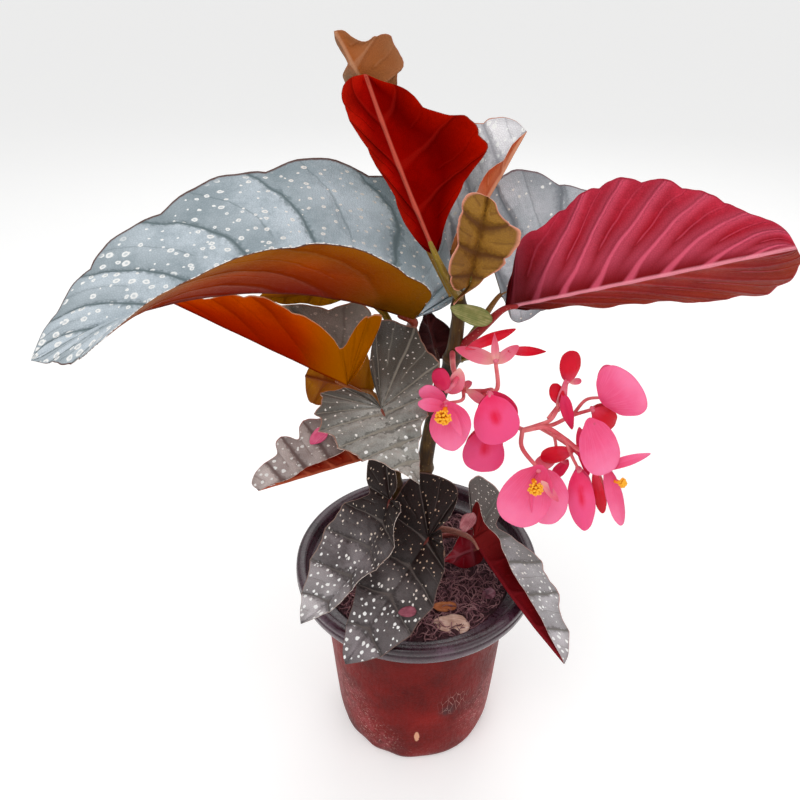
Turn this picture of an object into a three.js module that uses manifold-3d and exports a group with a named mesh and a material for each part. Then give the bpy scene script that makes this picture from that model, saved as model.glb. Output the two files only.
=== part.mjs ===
// Potted begonia: an angel-wing begonia with folded, spotted leaves and pink flower clusters,
// growing in a round plastic nursery pot. Millimetres, +Z up, the viewer stands on the -Y side.
// The origin is the centre of the pot's flat underside.
import * as THREE from "three";
import { mergeVertices } from "three/addons/utils/BufferGeometryUtils.js";
import Module from "manifold-3d";

const wasm = await Module();
wasm.setup();

// Driving dimensions
const GAP = 0.3; // clearance kept between neighbouring pieces
const POT = {
  height: 150, rimRadius: 80, wall: 1.8, floor: 3,
  side: [[53, 0], [55.2, 2.5], [57, 12], [58.6, 34], [60.4, 70], [62, 100], [65.5, 137.5]],
};
const POT_SIDES = 32;
const DRAIN = { count: 6, radius: 4.5, ring: 38 };
const SOIL = { level: 135, roughness: 1.6, seed: 71 };
const BLADE = 0.8; // thickness of a leaf blade
const MIDRIB = 1.1; // extra depth of the midrib under the blade, at the leaf's base
const TEPAL = 0.8; // thickness of a flower's tepal
const RIB_SPREAD = 0.3; // share of the margin that starts from the leaf's base point
const TUBE_SIDES = 6;
const NODE_SWELL = 1.1; // how far a cane swells at a node

// Two canes rise from the soil: path points and the radius at each
const CANES = {
  cane_main: {
    path: [[2, 12, 118], [2, 8, 170], [4, 5, 216], [9, 3, 258], [18, 0, 300], [20, -2, 328], [19, -3, 345]],
    radius: [5.6, 5.4, 5, 4.7, 4.3, 4, 3],
    nodes: [172, 218, 262, 298, 330],
  },
  cane_left: {
    path: [[-14, 8, 118], [-15, 4, 180], [-14, 0, 235], [-10, -2, 285], [-7, -4, 302]],
    radius: [5, 4.7, 4.4, 4, 3.2],
    nodes: [186, 208, 232, 258, 286],
  },
};

// Leaves. base and tip are the ends of the midrib, faces is where the upper side looks, arch and
// sway bend the midrib, teeth is the number of scallops on a half, and spread is the share of them
// round the lobe that starts at the base. A half is drawn with its margin as points from base to
// tip, in shares of the midrib's length, at one fold angle to the leaf's plane, or it is a plain
// half: wide and lobe are such shares, fold is the angle at base, middle and tip, peak is where it
// is widest, wedge slants the base edge, and taper below 1 fills out the tip.
const half = (wide, lobe, fold, peak = 0.16, wedge = 0, taper = 1) => {
  return { wide, lobe, fold, peak, wedge, taper };
};
const drawn = (fold, outline) => ({ fold: [fold, fold, fold], outline });
const LEAVES = {
  leaf_left_large: {
    base: [-4, -10, 327], tip: [-179, -60, 330], faces: [0, -0.2, 1], arch: 26, teeth: 10, depth: 0.035,
    left: half(0.33, 0, [35, 46, -20], 0.4, 0.15, 0.85), right: half(0.45, 0.22, [35, 24, 22], 0.13, 0, 0.75),
    stalk: [[-7, -3, 297], [-5, 2, 315]], stalkRadius: 3.2,
  },
  leaf_top_red: {
    base: [6, -25, 366], tip: [-28, 35, 437], faces: [-0.25, 1, 0.3], arch: 0, sway: -1,
    teeth: 6, depth: 0.05,
    left: drawn(30, [
      [0.07, 0.06], [0.17, 0.14], [0.26, 0.23], [0.36, 0.35], [0.46, 0.47], [0.53, 0.56],
      [0.6, 0.6], [0.67, 0.58], [0.73, 0.51], [0.75, 0.41], [0.82, 0.3], [0.9, 0.2], [0.95, 0.09],
    ]),
    right: drawn(45, [
      [0.07, 0.05], [0.19, 0.09], [0.32, 0.11], [0.46, 0.13], [0.63, 0.15], [0.81, 0.19],
      [0.94, 0.22], [1.03, 0.24], [1.07, 0.19], [1.06, 0.1],
    ]),
    stalk: [[20, -3, 336], [14, -16, 348]], stalkRadius: 2.4,
  },
  leaf_top_young: {
    base: [-22, 55, 416], tip: [-42, 32, 456], faces: [0.3, 1, 0.2], arch: 0, teeth: 4, depth: 0.08,
    left: drawn(20, [
      [0.07, 0.18], [0.19, 0.29], [0.32, 0.38], [0.34, 0.5], [0.46, 0.47], [0.58, 0.44],
      [0.69, 0.47], [0.77, 0.44], [0.79, 0.36], [0.76, 0.26], [0.78, 0.18], [0.87, 0.12],
      [0.96, 0.08],
    ]),
    right: drawn(20, [
      [0.06, 0.16], [0.27, 0.27], [0.48, 0.21], [0.62, 0.09], [0.75, 0.1], [0.88, 0.06],
    ]),
    stalk: [[16.5, -1, 336], [1, 16, 362], [-14, 38, 392]], stalkRadius: 1.8,
  },
  leaf_upper_folded: {
    base: [16, 14, 349], tip: [54.5, 41.5, 409.5], faces: [-0.77, -0.22, 0.59], arch: 0, teeth: 5, depth: 0.05,
    left: drawn(60, [
      [0.15, 0.13], [0.34, 0.23], [0.56, 0.31], [0.74, 0.35], [0.88, 0.35], [0.95, 0.29],
      [0.99, 0.2], [1.02, 0.1],
    ]),
    right: drawn(70, [
      [0.12, 0.08], [0.26, 0.12], [0.42, 0.13], [0.56, 0.12], [0.66, 0.11], [0.77, 0.07],
      [0.87, 0.05],
    ]),
    stalk: [[20, -1, 330], [19, 7, 340]], stalkRadius: 1.9,
  },
  leaf_back_silver: {
    base: [27, 43, 325], tip: [55, 131, 372], faces: [-0.3, -0.6, 1], arch: 8, teeth: 5, depth: 0.04,
    left: half(0.4, 0.1, [20, 20, 20]), right: half(0.22, 0, [60, 60, 40]),
    stalk: [[18, 0, 305], [20, 18, 312]], stalkRadius: 2.2,
  },
  leaf_back_right: {
    base: [47, 30, 323], tip: [135, 75, 349], faces: [0, -1, 0.3], arch: 0, teeth: 6, depth: 0.04,
    left: half(0.62, 0, [0, 0, 0], 0.2, 0.05, 0.9), right: half(0.2, 0, [10, 10, 10]),
    stalk: [[17, 0, 294], [32, 16, 308]], stalkRadius: 2.2,
  },
  leaf_right_large: {
    base: [44, -5, 331], tip: [153, -60, 383], faces: [0, 1, -0.1], arch: 0, teeth: 12, depth: 0.02,
    left: drawn(40, [
      [0.08, 0.06], [0.18, 0.1], [0.3, 0.15], [0.41, 0.18], [0.51, 0.22], [0.61, 0.25], [0.7, 0.28],
      [0.79, 0.31], [0.86, 0.32], [0.93, 0.26], [1, 0.13],
    ]),
    right: drawn(5, [
      [0.03, 0.07], [0.08, 0.15], [0.13, 0.23], [0.19, 0.27], [0.25, 0.28], [0.31, 0.31],
      [0.38, 0.34], [0.45, 0.36], [0.54, 0.36], [0.63, 0.33], [0.69, 0.31], [0.75, 0.26],
      [0.82, 0.21], [0.88, 0.15], [0.94, 0.11], [0.98, 0.06],
    ]),
    stalk: [[18, 0, 301], [31, -3, 316]], stalkRadius: 2.6,
  },
  leaf_young_frilled: {
    base: [23, -20, 350], tip: [28, -28, 395], faces: [-0.2, -1, 0.2], arch: 0, teeth: 5, depth: 0.08,
    left: drawn(30, [
      [-0.05, 0.16], [0.15, 0.29], [0.33, 0.3], [0.5, 0.25], [0.71, 0.27], [0.89, 0.29],
      [1.01, 0.25], [1.06, 0.14],
    ]),
    right: drawn(15, [
      [-0.15, -0.08], [-0.3, -0.2], [-0.2, -0.08], [-0.02, 0.06], [0.18, 0.2], [0.34, 0.31],
      [0.5, 0.4], [0.66, 0.42], [0.78, 0.41], [0.83, 0.26], [0.89, 0.15], [0.97, 0.09],
    ]),
    stalk: [[19, -3, 343], [22, -11, 347]], stalkRadius: 1.6,
  },
  leaf_left_back: {
    base: [-41, 22, 329], tip: [-92, 28, 322], faces: [0, 1, 0.2], arch: 0, teeth: 5, depth: 0.04,
    left: drawn(16, [
      [-0.02, 0.14], [0.06, 0.27], [0.22, 0.36], [0.45, 0.35], [0.68, 0.24], [0.87, 0.1],
    ]),
    right: drawn(12, [
      [0.02, 0.12], [0.1, 0.15], [0.25, 0.2], [0.45, 0.2], [0.7, 0.14], [0.88, 0.06],
    ]),
    stalk: [[-9, -2, 288], [-20, 12, 320]], stalkRadius: 2.2,
  },
  leaf_left_orange: {
    base: [-41, 2, 280], tip: [-148, 46, 311], faces: [0, -0.2, 1], arch: 0,
    teeth: 7, depth: 0.035, spread: 0.45,
    left: drawn(80, [
      [-0.05, 0.13], [-0.1, 0.34], [-0.14, 0.55], [-0.14, 0.62], [-0.09, 0.6], [-0.03, 0.46],
      [0.02, 0.31], [0.05, 0.28], [0.08, 0.32], [0.17, 0.36], [0.29, 0.38], [0.44, 0.36],
      [0.58, 0.31], [0.71, 0.22], [0.87, 0.11],
    ]),
    right: drawn(48, [
      [-0.02, 0.18], [-0.02, 0.29], [0.03, 0.37], [0.11, 0.38], [0.2, 0.33], [0.31, 0.28],
      [0.53, 0.2], [0.84, 0.08],
    ]),
    stalk: [[-13, -1, 252], [-25, 1, 267]], stalkRadius: 2.2,
  },
  leaf_left_under: {
    base: [-28, 30, 258], tip: [-74, 60, 252], faces: [0, 1, -0.2], arch: 0, teeth: 5, depth: 0.04,
    left: drawn(10, [
      [-0.01, 0.23], [0.15, 0.43], [0.44, 0.4], [0.72, 0.29], [0.94, 0.13],
    ]),
    right: drawn(10, [
      [-0.05, 0.1], [0.13, 0.27], [0.45, 0.32], [0.77, 0.37], [0.99, 0.39], [1.04, 0.23],
    ]),
    stalk: [[-13, 0, 240], [-19, 14, 250]], stalkRadius: 1.9,
  },
  leaf_front_mid: {
    base: [-19.7, -66, 308], tip: [-3, -113, 301.5], faces: [0.2, -0.9, 1], arch: 0,
    teeth: 9, depth: -0.05, spread: 0.5,
    left: drawn(8, [
      [-0.28, 0.03], [-0.67, 0.1], [-1.05, 0.25], [-1.25, 0.4], [-1.24, 0.55], [-1.07, 0.63],
      [-0.87, 0.69], [-0.62, 0.72], [-0.31, 0.69], [-0.02, 0.56], [0.27, 0.36], [0.52, 0.2],
      [0.71, 0.11], [0.88, 0.05],
    ]),
    right: drawn(0, [
      [-0.16, 0.02], [-0.28, 0.1], [-0.4, 0.2], [-0.44, 0.32], [-0.4, 0.45], [-0.26, 0.55],
      [-0.06, 0.6], [0.16, 0.58], [0.35, 0.49], [0.54, 0.38], [0.62, 0.29], [0.75, 0.17],
      [0.88, 0.07],
    ]),
    stalk: [[-11, -2, 270], [-14, -28, 284]], stalkRadius: 2,
  },
  leaf_lower_left: {
    base: [-28, 5, 227], tip: [-96, -15, 216], faces: [0, -0.2, 1], arch: 0, teeth: 7, depth: -0.04,
    left: drawn(90, [
      [0.04, 0.14], [0.12, 0.19], [0.24, 0.17], [0.34, 0.14], [0.5, 0.1], [0.68, 0.05], [0.85, 0.02],
    ]),
    right: drawn(20, [
      [-0.04, 0.09], [0.04, 0.21], [0.16, 0.25], [0.26, 0.38], [0.31, 0.48], [0.42, 0.51],
      [0.53, 0.46], [0.57, 0.36], [0.65, 0.4], [0.76, 0.38], [0.78, 0.27], [0.88, 0.22],
      [0.98, 0.18], [1.04, 0.08],
    ]),
    stalk: [[-14, 1, 212], [-21, 6, 219]], stalkRadius: 2,
  },
  leaf_bottom_left: {
    base: [-17, -27, 219], tip: [-68, -70, 163], faces: [-0.2, -0.6, 1], arch: 0, sway: 8,
    teeth: 7, depth: -0.04,
    left: drawn(40, [
      [-0.03, 0.12], [0.02, 0.2], [0.12, 0.22], [0.21, 0.26], [0.29, 0.27], [0.39, 0.2],
      [0.51, 0.15], [0.62, 0.12], [0.74, 0.1], [0.87, 0.07],
    ]),
    right: drawn(-5, [
      [-0.11, 0.02], [-0.22, 0.15], [-0.21, 0.28], [-0.13, 0.32], [-0.02, 0.24], [0.04, 0.17],
      [0.13, 0.25], [0.24, 0.33], [0.4, 0.36], [0.58, 0.33], [0.76, 0.23], [0.91, 0.12],
    ]),
    stalk: [[-15, 3, 190], [-19, -13, 206]], stalkRadius: 2,
  },
  leaf_bottom_front: {
    base: [6, -32, 194], tip: [-42, -85, 147], faces: [0, -0.5, 1], arch: 0,
    teeth: 7, depth: -0.03, spread: 0.4,
    left: drawn(5, [
      [-0.09, 0.04], [-0.01, 0.12], [0.08, 0.19], [0.2, 0.24], [0.32, 0.27], [0.42, 0.29],
      [0.53, 0.27], [0.65, 0.25], [0.77, 0.2], [0.89, 0.12],
    ]),
    right: drawn(5, [
      [-0.07, -0.01], [-0.19, -0.05], [-0.32, -0.03], [-0.42, 0.05], [-0.42, 0.18], [-0.35, 0.3],
      [-0.23, 0.36], [-0.04, 0.35], [0.26, 0.31], [0.49, 0.25], [0.68, 0.18], [0.86, 0.11],
      [0.95, 0.06],
    ]),
    stalk: [[2, 8, 172], [4, -14, 186]], stalkRadius: 2,
  },
  leaf_bottom_right: {
    base: [36, -12, 174], tip: [82, -86, 149], faces: [0.8, -0.5, 0.6], arch: -2,
    teeth: 7, depth: -0.05, spread: 0.42,
    left: drawn(10, [
      [-0.26, 0.16], [-0.47, 0.32], [-0.55, 0.47], [-0.48, 0.54], [-0.32, 0.52], [-0.17, 0.43],
      [-0.05, 0.27], [0.04, 0.33], [0.2, 0.45], [0.41, 0.43], [0.61, 0.36], [0.83, 0.23],
      [0.95, 0.1],
    ]),
    right: drawn(95, [
      [-0.1, 0.07], [-0.18, 0.13], [-0.2, 0.2], [-0.1, 0.17], [0.02, 0.14], [0.12, 0.17],
      [0.23, 0.14], [0.4, 0.11], [0.64, 0.08], [0.85, 0.04],
    ]),
    stalk: [[2, 9, 160], [18, 4, 167]], stalkRadius: 2.2,
  },
  leaf_low_red: {
    base: [43, 1, 155], tip: [17, -15, 157], faces: [0.1, 1, -0.2], arch: 0, teeth: 4, depth: 0.04,
    left: half(0.5, 0.1, [5, 5, 5]), right: half(0.5, 0.1, [5, 5, 5]),
    stalk: [[2, 10, 148], [24, 12, 154]], stalkRadius: 1.8,
  },
  leaf_small_dark: {
    base: [11, 10, 293], tip: [2, 12, 324], faces: [0.2, 1, 0.2], arch: 0, teeth: 4, depth: 0.05,
    left: half(0.4, 0.1, [30, 30, 30]), right: half(0.4, 0.1, [30, 30, 30]),
    stalk: [[10, 2, 266], [10, 8, 280]], stalkRadius: 1.5,
  },
  leaf_small_olive: {
    base: [24, 24, 284], tip: [50, 70, 262], faces: [0, 0, 1], arch: 0, teeth: 5, depth: 0.05,
    left: half(0.4, 0.1, [20, 20, 20]), right: half(0.4, 0.1, [20, 20, 20]),
    stalk: [[14, 1, 280], [20, 12, 284]], stalkRadius: 1.6,
  },
};

// Flowers. Each tepal runs from its root to its apex, face is where its inner side looks, cup is how
// deep it is dished, and point narrows it towards the apex.
const tepal = (root, apex, wide, face, cup = 2, point = 0) => ({ root, apex, wide, face, cup, point });
const BLOOMS = {
  flower_stamens_left: {
    heart: [10, -68, 312], heartRadius: 2.3,
    tepals: [
      tepal([11, -70, 314], [13.5, -75, 290], 22, [0.1, -1, 0.3], 2, 0.45),
      tepal([10, -68, 313], [-2, -73, 323], 8, [-0.1, -1, 0.2], 1),
      tepal([10, -70, 311], [-3, -77, 318], 7, [0, -1, 0.5], 1, 0.3),
      tepal([11, -70, 311], [17, -77, 300], 5, [0.3, -1, 0.3], 1, 0.6),
    ],
  },
  flower_bud_left: {
    heart: [11, -58, 313], heartRadius: 1.9,
    tepals: [
      tepal([11, -59, 313], [6, -58, 324], 8, [0, -1, 0.3], -1.6),
      tepal([11, -57, 313], [6, -55, 323], 7.5, [0, 1, -0.2], -1.4),
      tepal([17, -53, 322], [15, -56, 310], 8, [0.2, -1, 0.1], 0.8),
    ],
    bridges: [[[11, -58, 313], [14, -56, 315], [16, -54, 317]]],
  },
  flower_disc_upper: {
    heart: [32, -54, 308], heartRadius: 2.2,
    tepals: [
      tepal([31, -56, 309], [39, -62, 285], 22, [0.1, -1, 0.3], -2.4),
      tepal([32, -53, 309], [40, -54, 287], 20, [0, 1, -0.3], -1.5),
    ],
  },
  flower_disc_lower: {
    heart: [34, -46, 283], heartRadius: 2.2,
    tepals: [
      tepal([33, -48, 284], [31, -53, 260], 21, [-0.1, -1, 0.35], -2.4),
      tepal([34, -45, 284], [32, -44, 262], 19, [0, 1, -0.3], -1.5),
    ],
  },
  flower_open_upper: {
    heart: [36, -38, 318], heartRadius: 2,
    tepals: [
      tepal([36, -39, 317], [34, -40, 334], 5, [0, -1, 0.1], 0.6, 0.9),
      tepal([37, -38, 317], [16, -35, 323], 9, [0.2, -1, 0.2], 1, 0.6),
      tepal([36, -38, 316], [47, -36, 325], 7, [-0.2, -1, 0.3], 1, 0.5),
      tepal([42, -36, 322], [62, -31, 319], 6, [0, -0.8, 0.6], 1, 0.7),
      tepal([21, -36, 323], [46, -30, 331], 7, [0.2, -1, 0.2], 1, 0.6),
    ],
  },
  flower_right_disc: {
    heart: [89, -47, 302], heartRadius: 2,
    tepals: [
      tepal([88, -49, 300], [103, -52, 313.5], 31, [0.1, -1, 0.3], -2),
      tepal([89, -46, 301], [101, -45, 311], 27, [0, 1, -0.2], -1.4),
    ],
  },
  flower_bud_top: {
    heart: [72, -41, 308], heartRadius: 2,
    tepals: [
      tepal([72, -42, 307], [72, -41, 325], 10, [0, -1, 0.2], -2),
      tepal([72, -40, 307], [73, -38, 323], 10, [0, 1, -0.1], -1.6),
      tepal([73, -41, 307], [79, -41, 308], 3.5, [0, -1, 0.2], 0.5),
    ],
  },
  flower_bud_red: {
    heart: [69, -45, 297], heartRadius: 1.8,
    tepals: [
      tepal([69, -45, 296], [64.5, -45, 309], 8, [-0.3, -1, 0.2], -1, 0.3),
      tepal([69, -45, 292], [69, -48, 313], 7, [0.4, -1, 0.2], 1, 0.7),
      tepal([69, -46, 304], [75.5, -50.5, 285], 8, [0.3, -1, 0.3], 1, 0.7),
      tepal([71, -46, 299], [60, -50, 284], 5, [-0.2, -1, 0.3], 1, 0.8),
    ],
  },
  flower_red_right: {
    heart: [86, -44, 293], heartRadius: 2,
    tepals: [
      tepal([86, -45, 294], [98, -45, 283], 12, [0.2, -1, 0.3], -1.8),
      tepal([86, -43, 294], [98, -42, 286], 11, [0, 1, -0.1], -1.4),
    ],
  },
  flower_large_right: {
    heart: [88, -57, 276], heartRadius: 2.6,
    tepals: [
      tepal([80, -58, 297], [93, -63, 267], 20, [0.2, -1, 0.3], -2.2),
      tepal([77.5, -54.5, 289.5], [87, -52.5, 257], 8, [-0.7, -1, 0.1], 1, 0.5),
      tepal([90, -60, 267.5], [113, -61, 278], 6.5, [0, -0.6, 1], 1, 0.6),
      tepal([93, -60, 270], [106, -62, 231], 10, [-0.7, -1, 0.2], 1.4, 0.3),
    ],
    bridges: [
      [[88, -56, 276], [84, -57, 286], [83, -58, 294]],
      [[85, -56, 284], [78.5, -52.5, 286]],
      [[88, -57, 276], [91, -60, 269], [94, -60, 266]],
    ],
  },
  flower_front: {
    heart: [57, -67, 273], heartRadius: 2.3,
    tepals: [
      tepal([58, -69, 277], [46, -72, 241], 25, [-0.15, -1, 0.4]),
      tepal([58, -68, 274], [69, -68, 239], 21, [0.25, -1, 0.4]),
      tepal([58, -71, 269], [67, -75, 259], 5, [0.2, -1, 0.6], 1, 0.5),
    ],
  },
  flower_hanging: {
    heart: [80, -57, 265], heartRadius: 2.2,
    tepals: [
      tepal([79, -58, 266], [88, -61, 227], 15, [-0.1, -1, 0.2], -2.2, 0.3),
      tepal([80, -56, 266], [88, -56, 230], 14, [0, 1, -0.1], -1.6, 0.3),
    ],
  },
  flower_slender: {
    heart: [91, -50, 259], heartRadius: 1.8,
    tepals: [
      tepal([90, -51, 260], [99, -52, 231], 6, [-0.3, -1, 0.1], -1),
      tepal([92, -49, 260], [100, -50, 232], 5, [0.4, 1, 0], -1),
    ],
  },
  flower_bud_low: {
    heart: [70, -51, 268], heartRadius: 2,
    tepals: [
      tepal([78, -51, 272], [61, -52, 269], 9, [0, -1, 0.3], -1.5),
      tepal([71, -50, 270], [59, -52, 262], 8, [-0.1, -1, 0.4], 1),
      tepal([76, -50, 266], [70, -50, 254], 7, [0.1, -1, 0.2], 1),
    ],
    bridges: [[[70, -51, 268], [75, -51, 271]], [[70, -51, 268], [75, -50, 264]]],
  },
};

// Yellow stamen tufts sit in front of the open male flowers
const STAMENS = {
  stamens_left: { at: [8.5, -76, 310], radius: 3.9, face: [-0.2, -1, -0.1] },
  stamens_front: { at: [54.5, -76, 268.5], radius: 3.8, face: [0, -1, 0] },
  stamens_right: { at: [101, -63, 261], radius: 2.4, face: [0.8, -0.6, 0.1] },
};

// Red flower stalk: one branching stalk; a branch with a `to` ends at that flower's heart
const STALKS = {
  stalk_left: {
    branches: [
      { path: [[18, 0, 302], [17, -12, 306], [17, -26, 305], [21, -38, 301], [31, -43, 303]], radius: 1.7 },
      { path: [[21, -38, 301], [17, -47, 308]], radius: 1.2, to: "flower_bud_left" },
      { path: [[30, -43, 303], [37, -42, 303]], radius: 1.3, to: "flower_open_upper" },
      { path: [[30, -43, 303], [34, -46, 306]], radius: 1.1, to: "flower_disc_upper" },
      { path: [[21, -38, 301], [19, -54, 305]], radius: 1, to: "flower_stamens_left" },
      { path: [[30, -43, 303], [40, -42, 292], [46, -44, 284], [52, -48, 283]], radius: 1.5 },
      { path: [[46, -44, 284], [41, -40, 284]], radius: 1, to: "flower_disc_lower" },
      { path: [[51, -48, 283], [58, -47, 285], [65, -46, 288]], radius: 1.3, to: "flower_bud_red" },
      { path: [[64, -45, 288], [72, -38, 296]], radius: 1, to: "flower_bud_top" },
      { path: [[58, -47, 285], [66, -45, 284], [77, -42, 288]], radius: 1.2, to: "flower_red_right" },
      { path: [[77, -42, 288], [83, -40, 296]], radius: 1, to: "flower_right_disc" },
      {
        path: [[52, -48, 283], [62, -50, 286], [72, -53, 281], [80, -56, 276]],
        radius: 1.4,
        to: "flower_large_right",
      },
      { path: [[72, -53, 281], [76, -55, 272]], radius: 1, to: "flower_hanging" },
      { path: [[58, -47, 285], [76, -46, 272]], radius: 1, to: "flower_slender" },
      { path: [[62, -50, 286], [68, -46, 278]], radius: 1, to: "flower_bud_low" },
      { path: [[51, -48, 283], [50, -55, 278]], radius: 1.3, to: "flower_front" },
    ],
    bracts: [
      tepal([21, -40, 303], [12, -45, 305], 5, [0, -1, 0.4], 0.6),
      tepal([22, -41, 303], [31, -49, 300], 5, [0.2, -1, 0.4], 0.6),
      tepal([21, -40, 302], [23, -46, 311], 4, [0, -1, 0.2], 0.6),
    ],
  },
};

// Loose dry pieces on the soil and papery stipules at the stem's nodes
const SCRAPS = {
  stipule_upper: tepal([15, -7, 332], [37, -9, 325], 10, [-0.1, -1, 0.3], 1),
  stipule_dry: tepal([5.8, 5.4, 163.5], [17.5, -14.5, 161], 6, [0.5, -0.8, 0.5], 1),
  stipule_pink: tepal([29, -5.7, 173.9], [35, -7, 191], 9, [-0.2, -1, 0.2], 1.2),
  bract_dry: tepal([10, -47, 137.4], [32, -51, 137], 13, [0.1, -0.3, 1], 1.6),
  bract_orange: tepal([9, -36, 137.9], [25, -35, 137.7], 7, [0, -0.2, 1], 1.4),
  petal_fallen_left: tepal([-66.5, 9.8, 232.4], [-57, 17.8, 238.4], 9, [-0.05, -0.51, 0.84], -0.6),
  petal_fallen_front: tepal([-12.2, -66.3, 168.2], [-1.7, -67.8, 171.6], 6, [-0.2, -0.58, 0.79], -0.6),
};

// Small helpers
const V = (p) => new THREE.Vector3(p[0], p[1], p[2]);

function seeded(seed) {
  let state = seed;
  return () => {
    state = (state * 16807) % 2147483647;
    return state / 2147483647;
  };
}

function indexed(positions, triangles) {
  const raw = new THREE.BufferGeometry();
  raw.setAttribute("position", new THREE.Float32BufferAttribute(positions, 3));
  raw.setIndex(triangles);
  return raw;
}

// A closed geometry as a solid: shared corners merged, triangles of no area dropped
function solid(geometry) {
  const g = geometry.clone();
  g.deleteAttribute("normal");
  g.deleteAttribute("uv");
  const merged = mergeVertices(g, 1e-4);
  const kept = [];
  const ix = merged.index.array;
  for (let i = 0; i < ix.length; i += 3) {
    const [a, b, c] = [ix[i], ix[i + 1], ix[i + 2]];
    if (a !== b && b !== c && a !== c) kept.push(a, b, c);
  }
  return new wasm.Manifold(
    new wasm.Mesh({
      numProp: 3,
      vertProperties: new Float32Array(merged.attributes.position.array),
      triVerts: new Uint32Array(kept),
    }),
  );
}

function joined(solids) {
  return solids.reduce((all, one) => all.add(one));
}

// The main body of a cut piece, without the crumbs left beyond the cut
function mainBody(body) {
  return body.decompose().reduce((most, one) => (one.volume() > most.volume() ? one : most));
}

function meshOf(name, body, material) {
  const m = body.getMesh();
  const positions = new Float32Array(m.numVert * 3);
  for (let i = 0; i < m.numVert; i++) {
    positions.set(m.vertProperties.subarray(i * m.numProp, i * m.numProp + 3), i * 3);
  }
  const g = indexed(positions, Array.from(m.triVerts)).toNonIndexed();
  g.computeVertexNormals();
  const mesh = new THREE.Mesh(g, material);
  mesh.name = name;
  return mesh;
}

function matter(color, roughness, metalness = 0) {
  return new THREE.MeshStandardMaterial({ color, roughness, metalness, side: THREE.FrontSide });
}

// Uniform Catmull-Rom through flat points, with mirrored ends
function curvePoint(points, u) {
  const n = points.length - 1;
  const at = Math.min(Math.max(u, 0), 1) * n;
  const i = Math.min(Math.floor(at), n - 1);
  const f = at - i;
  const get = (k) => {
    if (k < 0) return points[0].map((c, d) => 2 * c - points[1][d]);
    if (k > n) return points[n].map((c, d) => 2 * c - points[n - 1][d]);
    return points[k];
  };
  const [a, b, c, d] = [get(i - 1), get(i), get(i + 1), get(i + 2)];
  return b.map(
    (_, k) =>
      0.5 *
      (2 * b[k] +
        (c[k] - a[k]) * f +
        (2 * a[k] - 5 * b[k] + 4 * c[k] - d[k]) * f * f +
        (3 * b[k] - a[k] - 3 * c[k] + d[k]) * f * f * f),
  );
}

// Tapered tube along a smooth path, closed at both ends; swell adds to the radius at a height
function tube(path, radii, steps, sides = TUBE_SIDES, swell = () => 0) {
  const curve = new THREE.CatmullRomCurve3(path.map(V));
  const frames = curve.computeFrenetFrames(steps, false);
  const positions = [];
  const triangles = [];
  for (let i = 0; i <= steps; i++) {
    const centre = curve.getPointAt(i / steps);
    const at = (i / steps) * (radii.length - 1);
    const k = Math.min(Math.floor(at), radii.length - 2);
    const radius = radii[k] + (radii[k + 1] - radii[k]) * (at - k) + swell(centre.z);
    for (let j = 0; j < sides; j++) {
      const a = (j / sides) * 2 * Math.PI;
      const p = centre
        .clone()
        .addScaledVector(frames.normals[i], radius * Math.cos(a))
        .addScaledVector(frames.binormals[i], radius * Math.sin(a));
      positions.push(p.x, p.y, p.z);
    }
  }
  for (let i = 0; i < steps; i++) {
    for (let j = 0; j < sides; j++) {
      const [a, b] = [i * sides + j, i * sides + ((j + 1) % sides)];
      triangles.push(a, b, b + sides, a, b + sides, a + sides);
    }
  }
  const last = steps * sides;
  for (let j = 1; j < sides - 1; j++) {
    triangles.push(0, j + 1, j);
    triangles.push(last, last + j, last + j + 1);
  }
  return solid(indexed(positions, triangles));
}

function ball(centre, radius, scale = [1, 1, 1], wide = 8, high = 6) {
  const g = new THREE.SphereGeometry(radius, wide, high);
  g.scale(scale[0], scale[1], scale[2]);
  g.translate(centre[0], centre[1], centre[2]);
  return solid(g);
}

// Leaf surface. u runs along the margin from base to tip, s from the midrib to the margin.
const LOBE_SHAPE = [[0, 0], [0.5, 0.12], [1, 0.45], [0.62, 0.86]];
const BLADE_SHAPE = [[0, 1], [0.357, 0.84], [0.714, 0.42], [0.881, 0.17], [1, 0]];

function marginPoint(h, u, spread) {
  if (h.outline) return outlinePoint([[0, 0], ...h.outline, [1, 0]], u, spread);
  const points = LOBE_SHAPE.map(([x, y]) => [-h.lobe * x + h.wedge * y, h.wide * y]).concat(
    BLADE_SHAPE.map(([x, y]) => [h.peak + (1 - h.peak) * x, h.wide * y ** h.taper]),
  );
  return curvePoint(points, u);
}

// Point of a drawn margin: the share `spread` of u runs round its lobe, the rest along its blade
function outlinePoint(points, u, spread) {
  const last = points.length - 1;
  const run = [0];
  for (let i = 1; i <= last; i++) {
    run.push(run[i - 1] + Math.hypot(points[i][0] - points[i - 1][0], points[i][1] - points[i - 1][1]));
  }
  let lobe = 1;
  for (let i = 1; i < last; i++) if (points[i][0] <= 0.1) lobe = i;
  const way =
    u <= spread
      ? (u / spread) * run[lobe]
      : run[lobe] + ((u - spread) / (1 - spread)) * (run[last] - run[lobe]);
  let i = 0;
  while (i < last - 1 && run[i + 1] < way) i++;
  const share = Math.min((way - run[i]) / (run[i + 1] - run[i]), 1);
  return curvePoint(points, (i + share) / last);
}

const ribAlong = (u, spread) => (Math.max(u - spread, 0) / (1 - spread)) ** 1.15;

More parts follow.
